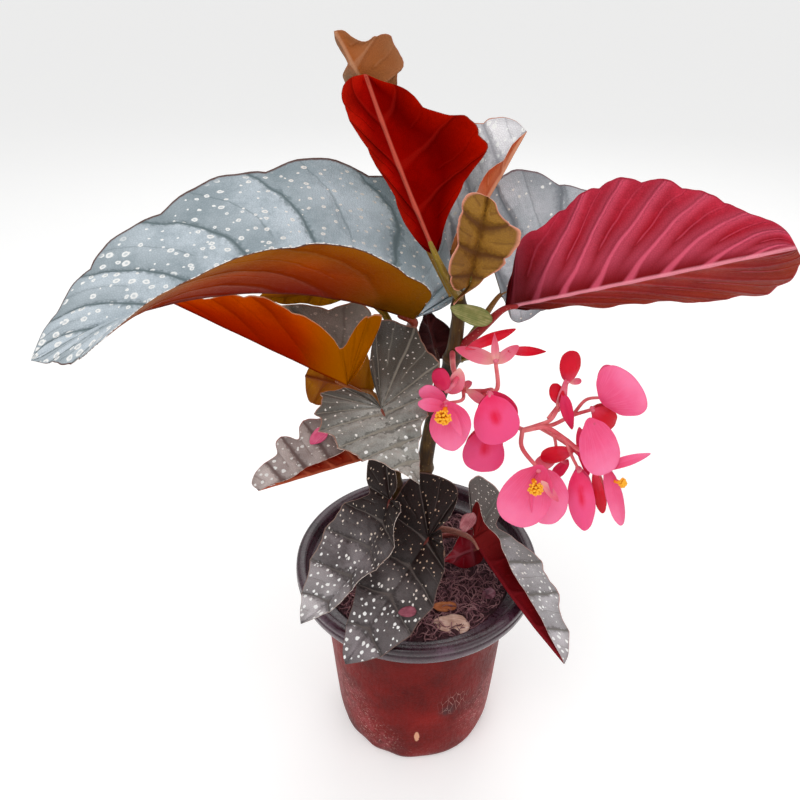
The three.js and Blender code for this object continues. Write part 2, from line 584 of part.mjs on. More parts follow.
function leafPoint(leaf, side, u, s, lift) {
  const h = side > 0 ? leaf.left : leaf.right;
  const base = V(leaf.base);
  const length = V(leaf.tip).distanceTo(base);
  const X = V(leaf.tip).sub(base).normalize();
  const Z = V(leaf.faces).addScaledVector(X, -V(leaf.faces).dot(X)).normalize();
  const Y = new THREE.Vector3().crossVectors(Z, X);
  const spread = leaf.spread || RIB_SPREAD;
  const ribAt = ribAlong(u, spread);
  const edge = marginPoint(h, u, spread);
  const phase = u * leaf.teeth;
  const nearEnds = Math.min(1, u * 7, (1 - u) * 7);
  const notch = Math.abs(Math.sin(Math.PI * phase));
  const tooth = leaf.depth > 0 ? leaf.depth * (notch - 1) : -leaf.depth * (0.4 - notch);
  const reach = s > 0.99 ? 1 + 2.2 * tooth * nearEnds : 1;
  const x = ribAt + (edge[0] - ribAt) * s * reach;
  const y = edge[1] * s * reach;
  const t = Math.min(Math.max(x, 0), 1);
  const bend = 4 * t * (1 - t);
  const behind = Math.min(x, 0);
  const slope = ((leaf.arch || 0) * 4 * (1 - 2 * t)) / length;
  const steep = Math.hypot(slope, 1);
  const [f0, f1, f2] = h.fold;
  const fold = THREE.MathUtils.degToRad(f0 * (1 - t) * (1 - 2 * t) + f1 * bend + f2 * t * (2 * t - 1));
  const pucker = 1.2 * notch * Math.sin(Math.PI * Math.min(s, 0.8)) * nearEnds;
  const ripple = 0.9 * Math.sin(Math.PI * phase * 0.9 + side) * s * s * nearEnds;
  const raise = pucker + ripple + lift;
  const tilted = Math.min(1, (y * length) / 2);
  const across = y * length * Math.cos(fold) - raise * tilted * Math.sin(fold);
  const up = y * length * Math.sin(fold) + raise * (1 - tilted + tilted * Math.cos(fold));
  return base
    .addScaledVector(X, x * length + (up * -slope) / steep)
    .addScaledVector(Y, side * across + (leaf.sway || 0) * bend)
    .addScaledVector(Z, (leaf.arch || 0) * (bend + 1.2 * behind) + up / steep);
}

function leafBlade(leaf) {
  const columns = Math.min(leaf.teeth * 2, 20);
  const rows = [0, 0.5, 1];
  const positions = [];
  const triangles = [];
  for (const side of [1, -1]) {
    const start = positions.length / 3;
    for (let j = 0; j <= columns; j++) {
      const u = j / columns;
      for (const s of rows) {
        const onRib = s === 0 || j === 0 || j === columns;
        const keel = onRib ? MIDRIB * (1 - 0.8 * ribAlong(u, leaf.spread || RIB_SPREAD)) : 0;
        const top = leafPoint(leaf, side, u, s, BLADE / 2);
        const under = leafPoint(leaf, side, u, s, -BLADE / 2 - keel);
        positions.push(top.x, top.y, top.z, under.x, under.y, under.z);
      }
    }
    const top = (j, i) => start + 2 * (j * rows.length + i);
    const under = (j, i) => top(j, i) + 1;
    const add = (a, b, c) => (side > 0 ? triangles.push(a, b, c) : triangles.push(a, c, b));
    const rim = rows.length - 1;
    for (let j = 0; j < columns; j++) {
      for (let i = 0; i < rim; i++) {
        add(top(j, i), top(j + 1, i), top(j + 1, i + 1));
        add(top(j, i), top(j + 1, i + 1), top(j, i + 1));
        add(under(j, i), under(j + 1, i + 1), under(j + 1, i));
        add(under(j, i), under(j, i + 1), under(j + 1, i + 1));
      }
      add(top(j, rim), top(j + 1, rim), under(j + 1, rim));
      add(top(j, rim), under(j + 1, rim), under(j, rim));
    }
  }
  return solid(indexed(positions, triangles));
}

function leafStalk(leaf) {
  const length = V(leaf.tip).distanceTo(V(leaf.base));
  const spread = leaf.spread || RIB_SPREAD;
  const overlapShare = spread + (1 - spread) * (5 / length) ** (1 / 1.15);
  const end = leafPoint(leaf, 1, 0, 0, -BLADE / 2 - 0.5);
  const inside = leafPoint(leaf, 1, overlapShare, 0, -BLADE / 2 - 0.3);
  const path = [...leaf.stalk, end.toArray(), inside.toArray()];
  return tube(path, [leaf.stalkRadius, leaf.stalkRadius * 0.8, leaf.stalkRadius * 0.5], 5, 6);
}

// Tepal surface: a rounded dish from root to apex
function tepalSolid(t, grow = 0) {
  const X = V(t.apex).sub(V(t.root)).normalize();
  const root = V(t.root).addScaledVector(X, -grow);
  const length = V(t.apex).distanceTo(V(t.root)) + 2 * grow;
  const wide = t.wide + 2 * grow;
  const half = TEPAL / 2 + grow;
  const sides = t.wide > 11 ? 10 : 7;
  const Z = V(t.face).addScaledVector(X, -V(t.face).dot(X)).normalize();
  const Y = new THREE.Vector3().crossVectors(Z, X);
  const rings = t.wide > 11 ? [0, 0.6, 1] : [0, 1];
  const positions = [];
  const triangles = [];
  const point = (ring, angle, lift) => {
    const along = Math.cos(angle) * ring;
    const taper = 1 - t.point * ((1 + Math.cos(angle)) / 2) ** 2;
    const across = Math.sin(angle) * ring * (1 + 0.22 * Math.cos(angle)) * taper;
    const dish = t.cup * (ring * ring - 1);
    return root
      .clone()
      .addScaledVector(X, ((along + 1) * length) / 2)
      .addScaledVector(Y, (across * wide) / 2)
      .addScaledVector(Z, dish + lift);
  };
  for (const ring of rings) {
    for (let k = 0; k < sides; k++) {
      const angle = (k / sides) * 2 * Math.PI;
      const top = point(ring, angle, half);
      const under = point(ring, angle, -half);
      positions.push(top.x, top.y, top.z, under.x, under.y, under.z);
    }
  }
  const top = (r, k) => 2 * (r * sides + (k % sides));
  const under = (r, k) => top(r, k) + 1;
  for (let r = 0; r < rings.length - 1; r++) {
    for (let k = 0; k < sides; k++) {
      triangles.push(top(r, k), top(r + 1, k), top(r + 1, k + 1));
      triangles.push(top(r, k), top(r + 1, k + 1), top(r, k + 1));
      triangles.push(under(r, k), under(r + 1, k + 1), under(r + 1, k));
      triangles.push(under(r, k), under(r, k + 1), under(r + 1, k + 1));
    }
  }
  const rim = rings.length - 1;
  for (let k = 0; k < sides; k++) {
    triangles.push(top(rim, k), under(rim, k), under(rim, k + 1));
    triangles.push(top(rim, k), under(rim, k + 1), top(rim, k + 1));
  }
  return solid(indexed(positions, triangles));
}

// A flower: its heart, its tepals and the short bridges that hold them; grow makes its clear space
function bloomSolid(bloom, grow = 0) {
  const parts = bloom.tepals.map((t) => tepalSolid(t, grow));
  const bridges = (bloom.bridges || []).map((path) => tube(path, [1.6 + grow, 1.2 + grow], path.length, 5));
  return joined([ball(bloom.heart, bloom.heartRadius + grow, [1, 1.5, 1], 6, 4), ...parts, ...bridges]);
}

// A profile of [radius, height] points turned about +Z
function turned(profile, sides) {
  const points = profile.map(([x, y]) => new THREE.Vector2(x, y));
  return new THREE.LatheGeometry(points, sides).rotateX(Math.PI / 2);
}

// Pot: one thin moulding with a banded rim, inner steps and drain holes
function potSolid() {
  const { height: h, rimRadius: r, wall: w, floor: f, side } = POT;
  const rim = [
    [r - 0.6, h - 10.5], [r, h - 5.4], [r - 0.9, h - 4.6], [r - 0.1, h - 3.4], [r - 1.4, h],
    [r - 6.2, h - 0.6], [r - 7.6, h - 3], [r - 8.4, h - 9.2],
  ];
  const wallInside = side.slice(2).map(([x, z]) => [x - w, z + w]);
  const inside = [[side[1][0] - w, f + 0.6], ...wallInside].reverse();
  const profile = [[0, 0], ...side, ...rim, ...inside, [0, f]];
  let pot = solid(turned(profile, POT_SIDES));
  for (let k = 0; k < DRAIN.count; k++) {
    const angle = ((k + 0.5) / DRAIN.count) * 2 * Math.PI;
    const hole = new THREE.CylinderGeometry(DRAIN.radius, DRAIN.radius, 4 * f, 10).rotateX(Math.PI / 2);
    hole.translate(DRAIN.ring * Math.cos(angle), DRAIN.ring * Math.sin(angle), 0);
    pot = pot.subtract(solid(hole));
  }
  return pot;
}

// Soil: fills the pot, with an uneven top and plain holes for the canes
function soilSolid(holes) {
  const { wall: w, floor: f, side } = POT;
  const top = SOIL.level;
  const rings = [61.5, 47, 32, 16];
  const clear = w + 0.75;
  const low = side.slice(2, -1).map(([x, z]) => [x - clear, z + w]);
  const profile = [[0, f + 2 * GAP], [side[1][0] - clear - 0.4, f + 3.5 * GAP], ...low, [62.6, top - 1.2]];
  profile.push(...rings.map((r) => [r, top]), [0, top]);
  const g = turned(profile, 28);
  const random = seeded(SOIL.seed);
  const p = g.attributes.position;
  const bump = new Map();
  for (let i = 0; i < p.count; i++) {
    const radius = Math.hypot(p.getX(i), p.getY(i));
    if (radius > 62 || p.getZ(i) < top - 0.5) continue;
    const key = Math.round(p.getX(i) * 10) + "," + Math.round(p.getY(i) * 10);
    if (!bump.has(key)) bump.set(key, (2 * random() - 1) * SOIL.roughness);
    p.setZ(i, top + bump.get(key));
  }
  return holes.reduce((body, hole) => body.subtract(hole), solid(g));
}

// Canes: a tapered stem, swollen at each node
function caneSolid(cane, grow = 0) {
  const swell = (z) => {
    const near = Math.min(...cane.nodes.map((node) => Math.abs(z - node)));
    return NODE_SWELL * Math.exp(-((near / 3.5) ** 2));
  };
  return tube(cane.path, cane.radius.map((r) => r + grow), 28, 7, swell);
}

function stamenSolid(s) {
  const random = seeded(29);
  const face = V(s.face).normalize();
  const stem = V(s.at).addScaledVector(face, -s.radius * 1.6).toArray();
  const parts = [ball(s.at, s.radius * 0.62, [1, 1, 1], 6, 4), tube([stem, s.at], [1.3, 1.3], 1, 5)];
  const count = 6;
  for (let k = 0; k < count; k++) {
    const y = 1 - (2 * (k + 0.5)) / count;
    const ring = Math.sqrt(1 - y * y);
    const turn = k * 2.4 + random() * 0.3;
    const dir = new THREE.Vector3(ring * Math.cos(turn), y, ring * Math.sin(turn));
    if (dir.dot(face) < -0.35) dir.addScaledVector(face, -2 * dir.dot(face));
    const c = V(s.at).addScaledVector(dir, s.radius * 0.62);
    parts.push(ball(c.toArray(), s.radius * 0.38, [1, 1, 1], 5, 3));
  }
  return joined(parts);
}

// Colours of the pieces
const MATERIALS = {
  pot: matter(0x8e2f27, 0.5),
  soil: matter(0x3d2422, 0.95),
  cane: matter(0x4a3a1c, 0.6),
  silver: matter(0x9aa5a6, 0.45),
  dark: matter(0x3c3a34, 0.45),
  red: matter(0xa01a17, 0.45),
  orange: matter(0xb0561c, 0.45),
  young: matter(0x8c6a24, 0.5),
  pink: matter(0xf0508c, 0.5),
  stamen: matter(0xf6a81e, 0.6),
  stalk: matter(0xe06a6c, 0.5),
  dry: matter(0xb99a78, 0.7),
};
const LEAF_MATERIAL = {
  leaf_top_red: "red", leaf_right_large: "red", leaf_top_young: "orange", leaf_left_orange: "orange",
  leaf_left_under: "orange", leaf_left_back: "young", leaf_young_frilled: "young", leaf_small_olive: "young",
  leaf_small_dark: "dark", leaf_bottom_front: "dark", leaf_bottom_left: "dark", leaf_low_red: "red",
};

// Assembly
const plant = new THREE.Group();
const canes = Object.entries(CANES).map(([name, cane]) => [name, caneSolid(cane), caneSolid(cane, GAP)]);
const caneSpace = joined(canes.map((c) => c[2]));

plant.add(meshOf("pot", potSolid(), MATERIALS.pot));
plant.add(meshOf("soil", soilSolid(canes.map((c) => c[2])), MATERIALS.soil));
for (const [name, body] of canes) plant.add(meshOf(name, body, MATERIALS.cane));

for (const [name, leaf] of Object.entries(LEAVES)) {
  const body = mainBody(leafBlade(leaf).add(mainBody(leafStalk(leaf).subtract(caneSpace))));
  plant.add(meshOf(name, body, MATERIALS[LEAF_MATERIAL[name] || "silver"]));
}

for (const [name, bloom] of Object.entries(BLOOMS)) {
  plant.add(meshOf(name, bloomSolid(bloom), MATERIALS.pink));
}
const bloomSpace = joined(Object.values(BLOOMS).map((bloom) => bloomSolid(bloom, GAP)));

for (const [name, stalk] of Object.entries(STALKS)) {
  const tubes = stalk.branches.map((b) => {
    const path = b.to ? [...b.path, BLOOMS[b.to].heart] : b.path;
    return tube(path, [b.radius, b.radius * 0.85], path.length, 5);
  });
  const body = joined([...tubes, ...stalk.bracts.map((t) => tepalSolid(t))]);
  plant.add(meshOf(name, mainBody(body.subtract(caneSpace).subtract(bloomSpace)), MATERIALS.stalk));
}

for (const [name, s] of Object.entries(STAMENS)) {
  plant.add(meshOf(name, mainBody(stamenSolid(s).subtract(bloomSpace)), MATERIALS.stamen));
}
for (const [name, s] of Object.entries(SCRAPS)) plant.add(meshOf(name, tepalSolid(s), MATERIALS.dry));

export default plant;
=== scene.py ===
"""Potted begonia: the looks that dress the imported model. Tables are in millimetres, +Z up."""
import functools
import math
from types import SimpleNamespace as Named

import bpy
import numpy as np
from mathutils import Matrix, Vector


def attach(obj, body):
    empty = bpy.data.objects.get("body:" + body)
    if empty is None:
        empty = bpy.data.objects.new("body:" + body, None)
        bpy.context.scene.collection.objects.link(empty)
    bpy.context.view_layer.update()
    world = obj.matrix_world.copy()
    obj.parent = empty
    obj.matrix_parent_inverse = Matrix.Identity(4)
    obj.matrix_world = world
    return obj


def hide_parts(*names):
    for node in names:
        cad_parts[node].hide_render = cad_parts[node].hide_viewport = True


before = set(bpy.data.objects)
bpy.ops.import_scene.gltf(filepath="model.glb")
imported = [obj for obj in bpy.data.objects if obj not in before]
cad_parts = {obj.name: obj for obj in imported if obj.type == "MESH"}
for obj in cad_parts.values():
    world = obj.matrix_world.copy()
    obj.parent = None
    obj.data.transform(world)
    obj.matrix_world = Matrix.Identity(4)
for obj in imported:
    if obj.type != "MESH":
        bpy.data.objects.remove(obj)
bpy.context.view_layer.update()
MM = 0.001
TURN = 2 * np.pi

# Sizes shared with the solids: pot, drain holes, level of the soil, thickness of a blade, height of its
# rib, share of a margin that runs round the lobe, and how far a cane's nodes swell
POT = Named(
    height=150, rim=80, wall=1.8, floor=3,
    side=[[53, 0], [55.2, 2.5], [57, 12], [58.6, 34], [60.4, 70], [62, 100], [65.5, 137.5]],
)
DRAIN = Named(count=6, radius=4.5, ring=38)
SOIL_LEVEL = 135
BLADE = 0.44
MIDRIB = 1.1
RIB_SPREAD = 0.3
NODE_SWELL = 1.1


def half(wide, lobe, fold, peak=0.16, wedge=0, taper=1):
    """Half of a blade with an even margin, in shares of the blade's length."""
    return Named(wide=wide, lobe=lobe, fold=fold, peak=peak, wedge=wedge, taper=taper, outline=None)


def drawn(fold, *outline):
    """Half of a blade with its margin given as points, in hundredths of the blade's length."""
    return Named(fold=[fold] * 3, outline=[(x / 100, y / 100) for x, y in outline])


def leaf(base, tip, faces, stalk, radius, left, right, teeth, depth, arch=0, sway=0, spread=RIB_SPREAD):
    """A blade from base to tip, its stalk's path and radius, its halves, and its margin's teeth."""
    return Named(
        base=base, tip=tip, faces=faces, stalk=stalk, radius=radius, left=left, right=right,
        teeth=teeth, depth=depth, arch=arch, sway=sway, spread=spread,
    )


def tepal(root, apex, wide, face, cup=2, point=0):
    return Named(root=root, apex=apex, wide=wide, face=face, cup=cup, point=point)


def bloom(heart, radius, *tepals, bridges=()):
    """A flower round its heart. Each of its tepals starts with the name of its tone."""
    return Named(heart=heart, radius=radius, tepals=[(t[0], tepal(*t[1:])) for t in tepals], bridges=bridges)


CANES = {
    "cane_main": Named(
        path=[
            [2, 12, 118], [2, 8, 170], [4, 5, 216], [9, 3, 258], [18, 0, 300], [20, -2, 328], [19, -3, 345],
        ],
        radius=[5.6, 5.4, 5, 4.7, 4.3, 4, 3], nodes=[172, 218, 262, 298, 330],
    ),
    "cane_left": Named(
        path=[[-14, 8, 118], [-15, 4, 180], [-14, 0, 235], [-10, -2, 285], [-7, -4, 302]],
        radius=[5, 4.7, 4.4, 4, 3.2], nodes=[186, 208, 232, 258, 286],
    ),
}

# Leaves, with the values of the solids
LEAVES = {
    "leaf_left_large": leaf(
        [-4, -10, 327], [-179, -60, 330], [0, -0.2, 1], [[-7, -3, 297], [-5, 2, 315]], 3.2,
        half(0.33, 0, [35, 46, -20], 0.4, 0.15, 0.85), half(0.45, 0.22, [35, 24, 22], 0.13, 0, 0.75),
        teeth=10, depth=0.035, arch=26,
    ),
    "leaf_top_red": leaf(
        [6, -25, 366], [-28, 35, 437], [-0.25, 1, 0.3], [[20, -3, 336], [14, -16, 348]], 2.4,
        drawn(30, (7, 6), (17, 14), (26, 23), (36, 35), (46, 47), (53, 56), (60, 60), (67, 58),
            (73, 51), (75, 41), (82, 30), (90, 20), (95, 9)),
        drawn(45, (7, 5), (19, 9), (32, 11), (46, 13), (63, 15), (81, 19), (94, 22), (103, 24),
            (107, 19), (106, 10)),
        teeth=6, depth=0.05, sway=-1,
    ),
    "leaf_top_young": leaf(
        [-22, 55, 416], [-42, 32, 456], [0.3, 1, 0.2], [[16.5, -1, 336], [1, 16, 362], [-14, 38, 392]], 1.8,
        drawn(20, (7, 18), (19, 29), (32, 38), (34, 50), (46, 47), (58, 44), (69, 47), (77, 44),
            (79, 36), (76, 26), (78, 18), (87, 12), (96, 8)),
        drawn(20, (6, 16), (27, 27), (48, 21), (62, 9), (75, 10), (88, 6)),
        teeth=4, depth=0.08,
    ),
    "leaf_upper_folded": leaf(
        [16, 14, 349], [54.5, 41.5, 409.5], [-0.77, -0.22, 0.59], [[20, -1, 330], [19, 7, 340]], 1.9,
        drawn(60, (15, 13), (34, 23), (56, 31), (74, 35), (88, 35), (95, 29), (99, 20), (102, 10)),
        drawn(70, (12, 8), (26, 12), (42, 13), (56, 12), (66, 11), (77, 7), (87, 5)),
        teeth=5, depth=0.05,
    ),
    "leaf_back_silver": leaf(
        [27, 43, 325], [55, 131, 372], [-0.3, -0.6, 1], [[18, 0, 305], [20, 18, 312]], 2.2,
        half(0.4, 0.1, [20, 20, 20]), half(0.22, 0, [60, 60, 40]),
        teeth=5, depth=0.04, arch=8,
    ),
    "leaf_back_right": leaf(
        [47, 30, 323], [135, 75, 349], [0, -1, 0.3], [[17, 0, 294], [32, 16, 308]], 2.2,
        half(0.62, 0, [0, 0, 0], 0.2, 0.05, 0.9), half(0.2, 0, [10, 10, 10]),
        teeth=6, depth=0.04,
    ),
    "leaf_right_large": leaf(
        [44, -5, 331], [153, -60, 383], [0, 1, -0.1], [[18, 0, 301], [31, -3, 316]], 2.6,
        drawn(40, (8, 6), (18, 10), (30, 15), (41, 18), (51, 22), (61, 25), (70, 28), (79, 31),
            (86, 32), (93, 26), (100, 13)),
        drawn(5, (3, 7), (8, 15), (13, 23), (19, 27), (25, 28), (31, 31), (38, 34), (45, 36), (54, 36),
            (63, 33), (69, 31), (75, 26), (82, 21), (88, 15), (94, 11), (98, 6)),
        teeth=12, depth=0.02,
    ),
    "leaf_young_frilled": leaf(
        [23, -20, 350], [28, -28, 395], [-0.2, -1, 0.2], [[19, -3, 343], [22, -11, 347]], 1.6,
        drawn(30, (-5, 16), (15, 29), (33, 30), (50, 25), (71, 27), (89, 29), (101, 25), (106, 14)),
        drawn(15, (-15, -8), (-30, -20), (-20, -8), (-2, 6), (18, 20), (34, 31), (50, 40), (66, 42),
            (78, 41), (83, 26), (89, 15), (97, 9)),
        teeth=5, depth=0.08,
    ),
    "leaf_left_back": leaf(
        [-41, 22, 329], [-92, 28, 322], [0, 1, 0.2], [[-9, -2, 288], [-20, 12, 320]], 2.2,
        drawn(16, (-2, 14), (6, 27), (22, 36), (45, 35), (68, 24), (87, 10)),
        drawn(12, (2, 12), (10, 15), (25, 20), (45, 20), (70, 14), (88, 6)),
        teeth=5, depth=0.04,
    ),
    "leaf_left_orange": leaf(
        [-41, 2, 280], [-148, 46, 311], [0, -0.2, 1], [[-13, -1, 252], [-25, 1, 267]], 2.2,
        drawn(80, (-5, 13), (-10, 34), (-14, 55), (-14, 62), (-9, 60), (-3, 46), (2, 31), (5, 28),
            (8, 32), (17, 36), (29, 38), (44, 36), (58, 31), (71, 22), (87, 11)),
        drawn(48, (-2, 18), (-2, 29), (3, 37), (11, 38), (20, 33), (31, 28), (53, 20), (84, 8)),
        teeth=7, depth=0.035, spread=0.45,
    ),
    "leaf_left_under": leaf(
        [-28, 30, 258], [-74, 60, 252], [0, 1, -0.2], [[-13, 0, 240], [-19, 14, 250]], 1.9,
        drawn(10, (-1, 23), (15, 43), (44, 40), (72, 29), (94, 13)),
        drawn(10, (-5, 10), (13, 27), (45, 32), (77, 37), (99, 39), (104, 23)),
        teeth=5, depth=0.04,
    ),
    "leaf_front_mid": leaf(
        [-19.7, -66, 308], [-3, -113, 301.5], [0.2, -0.9, 1], [[-11, -2, 270], [-14, -28, 284]], 2,
        drawn(8, (-28, 3), (-67, 10), (-105, 25), (-125, 40), (-124, 55), (-107, 63), (-87, 69),
            (-62, 72), (-31, 69), (-2, 56), (27, 36), (52, 20), (71, 11), (88, 5)),
        drawn(0, (-16, 2), (-28, 10), (-40, 20), (-44, 32), (-40, 45), (-26, 55), (-6, 60), (16, 58),
            (35, 49), (54, 38), (62, 29), (75, 17), (88, 7)),
        teeth=9, depth=-0.05, spread=0.5,
    ),
    "leaf_lower_left": leaf(
        [-28, 5, 227], [-96, -15, 216], [0, -0.2, 1], [[-14, 1, 212], [-21, 6, 219]], 2,
        drawn(90, (4, 14), (12, 19), (24, 17), (34, 14), (50, 10), (68, 5), (85, 2)),
        drawn(20, (-4, 9), (4, 21), (16, 25), (26, 38), (31, 48), (42, 51), (53, 46), (57, 36),
            (65, 40), (76, 38), (78, 27), (88, 22), (98, 18), (104, 8)),
        teeth=7, depth=-0.04,
    ),
    "leaf_bottom_left": leaf(
        [-17, -27, 219], [-68, -70, 163], [-0.2, -0.6, 1], [[-15, 3, 190], [-19, -13, 206]], 2,
        drawn(40, (-3, 12), (2, 20), (12, 22), (21, 26), (29, 27), (39, 20), (51, 15), (62, 12),
            (74, 10), (87, 7)),
        drawn(-5, (-11, 2), (-22, 15), (-21, 28), (-13, 32), (-2, 24), (4, 17), (13, 25), (24, 33),
            (40, 36), (58, 33), (76, 23), (91, 12)),
        teeth=7, depth=-0.04, sway=8,
    ),
    "leaf_bottom_front": leaf(
        [6, -32, 194], [-42, -85, 147], [0, -0.5, 1], [[2, 8, 172], [4, -14, 186]], 2,
        drawn(5, (-9, 4), (-1, 12), (8, 19), (20, 24), (32, 27), (42, 29), (53, 27), (65, 25), (77, 20),
            (89, 12)),
        drawn(5, (-7, -1), (-19, -5), (-32, -3), (-42, 5), (-42, 18), (-35, 30), (-23, 36), (-4, 35),
            (26, 31), (49, 25), (68, 18), (86, 11), (95, 6)),
        teeth=7, depth=-0.03, spread=0.4,
    ),
    "leaf_bottom_right": leaf(
        [36, -12, 174], [82, -86, 149], [0.8, -0.5, 0.6], [[2, 9, 160], [18, 4, 167]], 2.2,
        drawn(10, (-26, 16), (-47, 32), (-55, 47), (-48, 54), (-32, 52), (-17, 43), (-5, 27), (4, 33),
            (20, 45), (41, 43), (61, 36), (83, 23), (95, 10)),
        drawn(95, (-10, 7), (-18, 13), (-20, 20), (-10, 17), (2, 14), (12, 17), (23, 14), (40, 11),
            (64, 8), (85, 4)),
        teeth=7, depth=-0.05, arch=-2, spread=0.42,
    ),
    "leaf_low_red": leaf(
        [43, 1, 155], [17, -15, 157], [0.1, 1, -0.2], [[2, 10, 148], [24, 12, 154]], 1.8,
        half(0.5, 0.1, [5, 5, 5]), half(0.5, 0.1, [5, 5, 5]),
        teeth=4, depth=0.04,
    ),
    "leaf_small_dark": leaf(
        [11, 10, 293], [2, 12, 324], [0.2, 1, 0.2], [[10, 2, 266], [10, 8, 280]], 1.5,
        half(0.4, 0.1, [30, 30, 30]), half(0.4, 0.1, [30, 30, 30]),
        teeth=4, depth=0.05,
    ),
    "leaf_small_olive": leaf(
        [24, 24, 284], [50, 70, 262], [0, 0, 1], [[14, 1, 280], [20, 12, 284]], 1.6,
        half(0.4, 0.1, [20, 20, 20]), half(0.4, 0.1, [20, 20, 20]),
        teeth=5, depth=0.05,
    ),
}


def look(upper, spots, root, ridge, petiole, left, right=None, **more):
    """Colours of a leaf. upper is its main, palest and darkest colour above, spots their spacing and
    radius in mm, root and ridge are for the underside near the stalk and on its veins, and petiole for
    the stalk. left and right are the underside's colours near the rib, in the middle and at the margin.
    base is the painted shade above near the stalk, and fade says where it ends, in shares of the length.
    tip is the painted sheen above towards the tip."""
    top, glow, dark = upper
    made = dict(
        top=top, glow=glow, dark=dark, spots=spots, root=root, ridge=ridge, petiole=petiole, left=left,
        right=right or left, base=top, fade=(0, 0.1), line=dark, band=0.3, slant=0.35, rim_dark=0.3,
        rib=ridge, shade=left[0], vein=0.7, vein_glow=0.3, edge="#8A5A48", lip="#E0CFC6", fringe=0,
        ruffle=0.4, hollow=0, spot_base="#E4DAD0", gloss=0.3, sheen=0.04, left_veins=1.0, tip=glow,
        tip_at=0.6, lean=0.0, vein_width=1.0,
    )
    return Named(**(made | more))
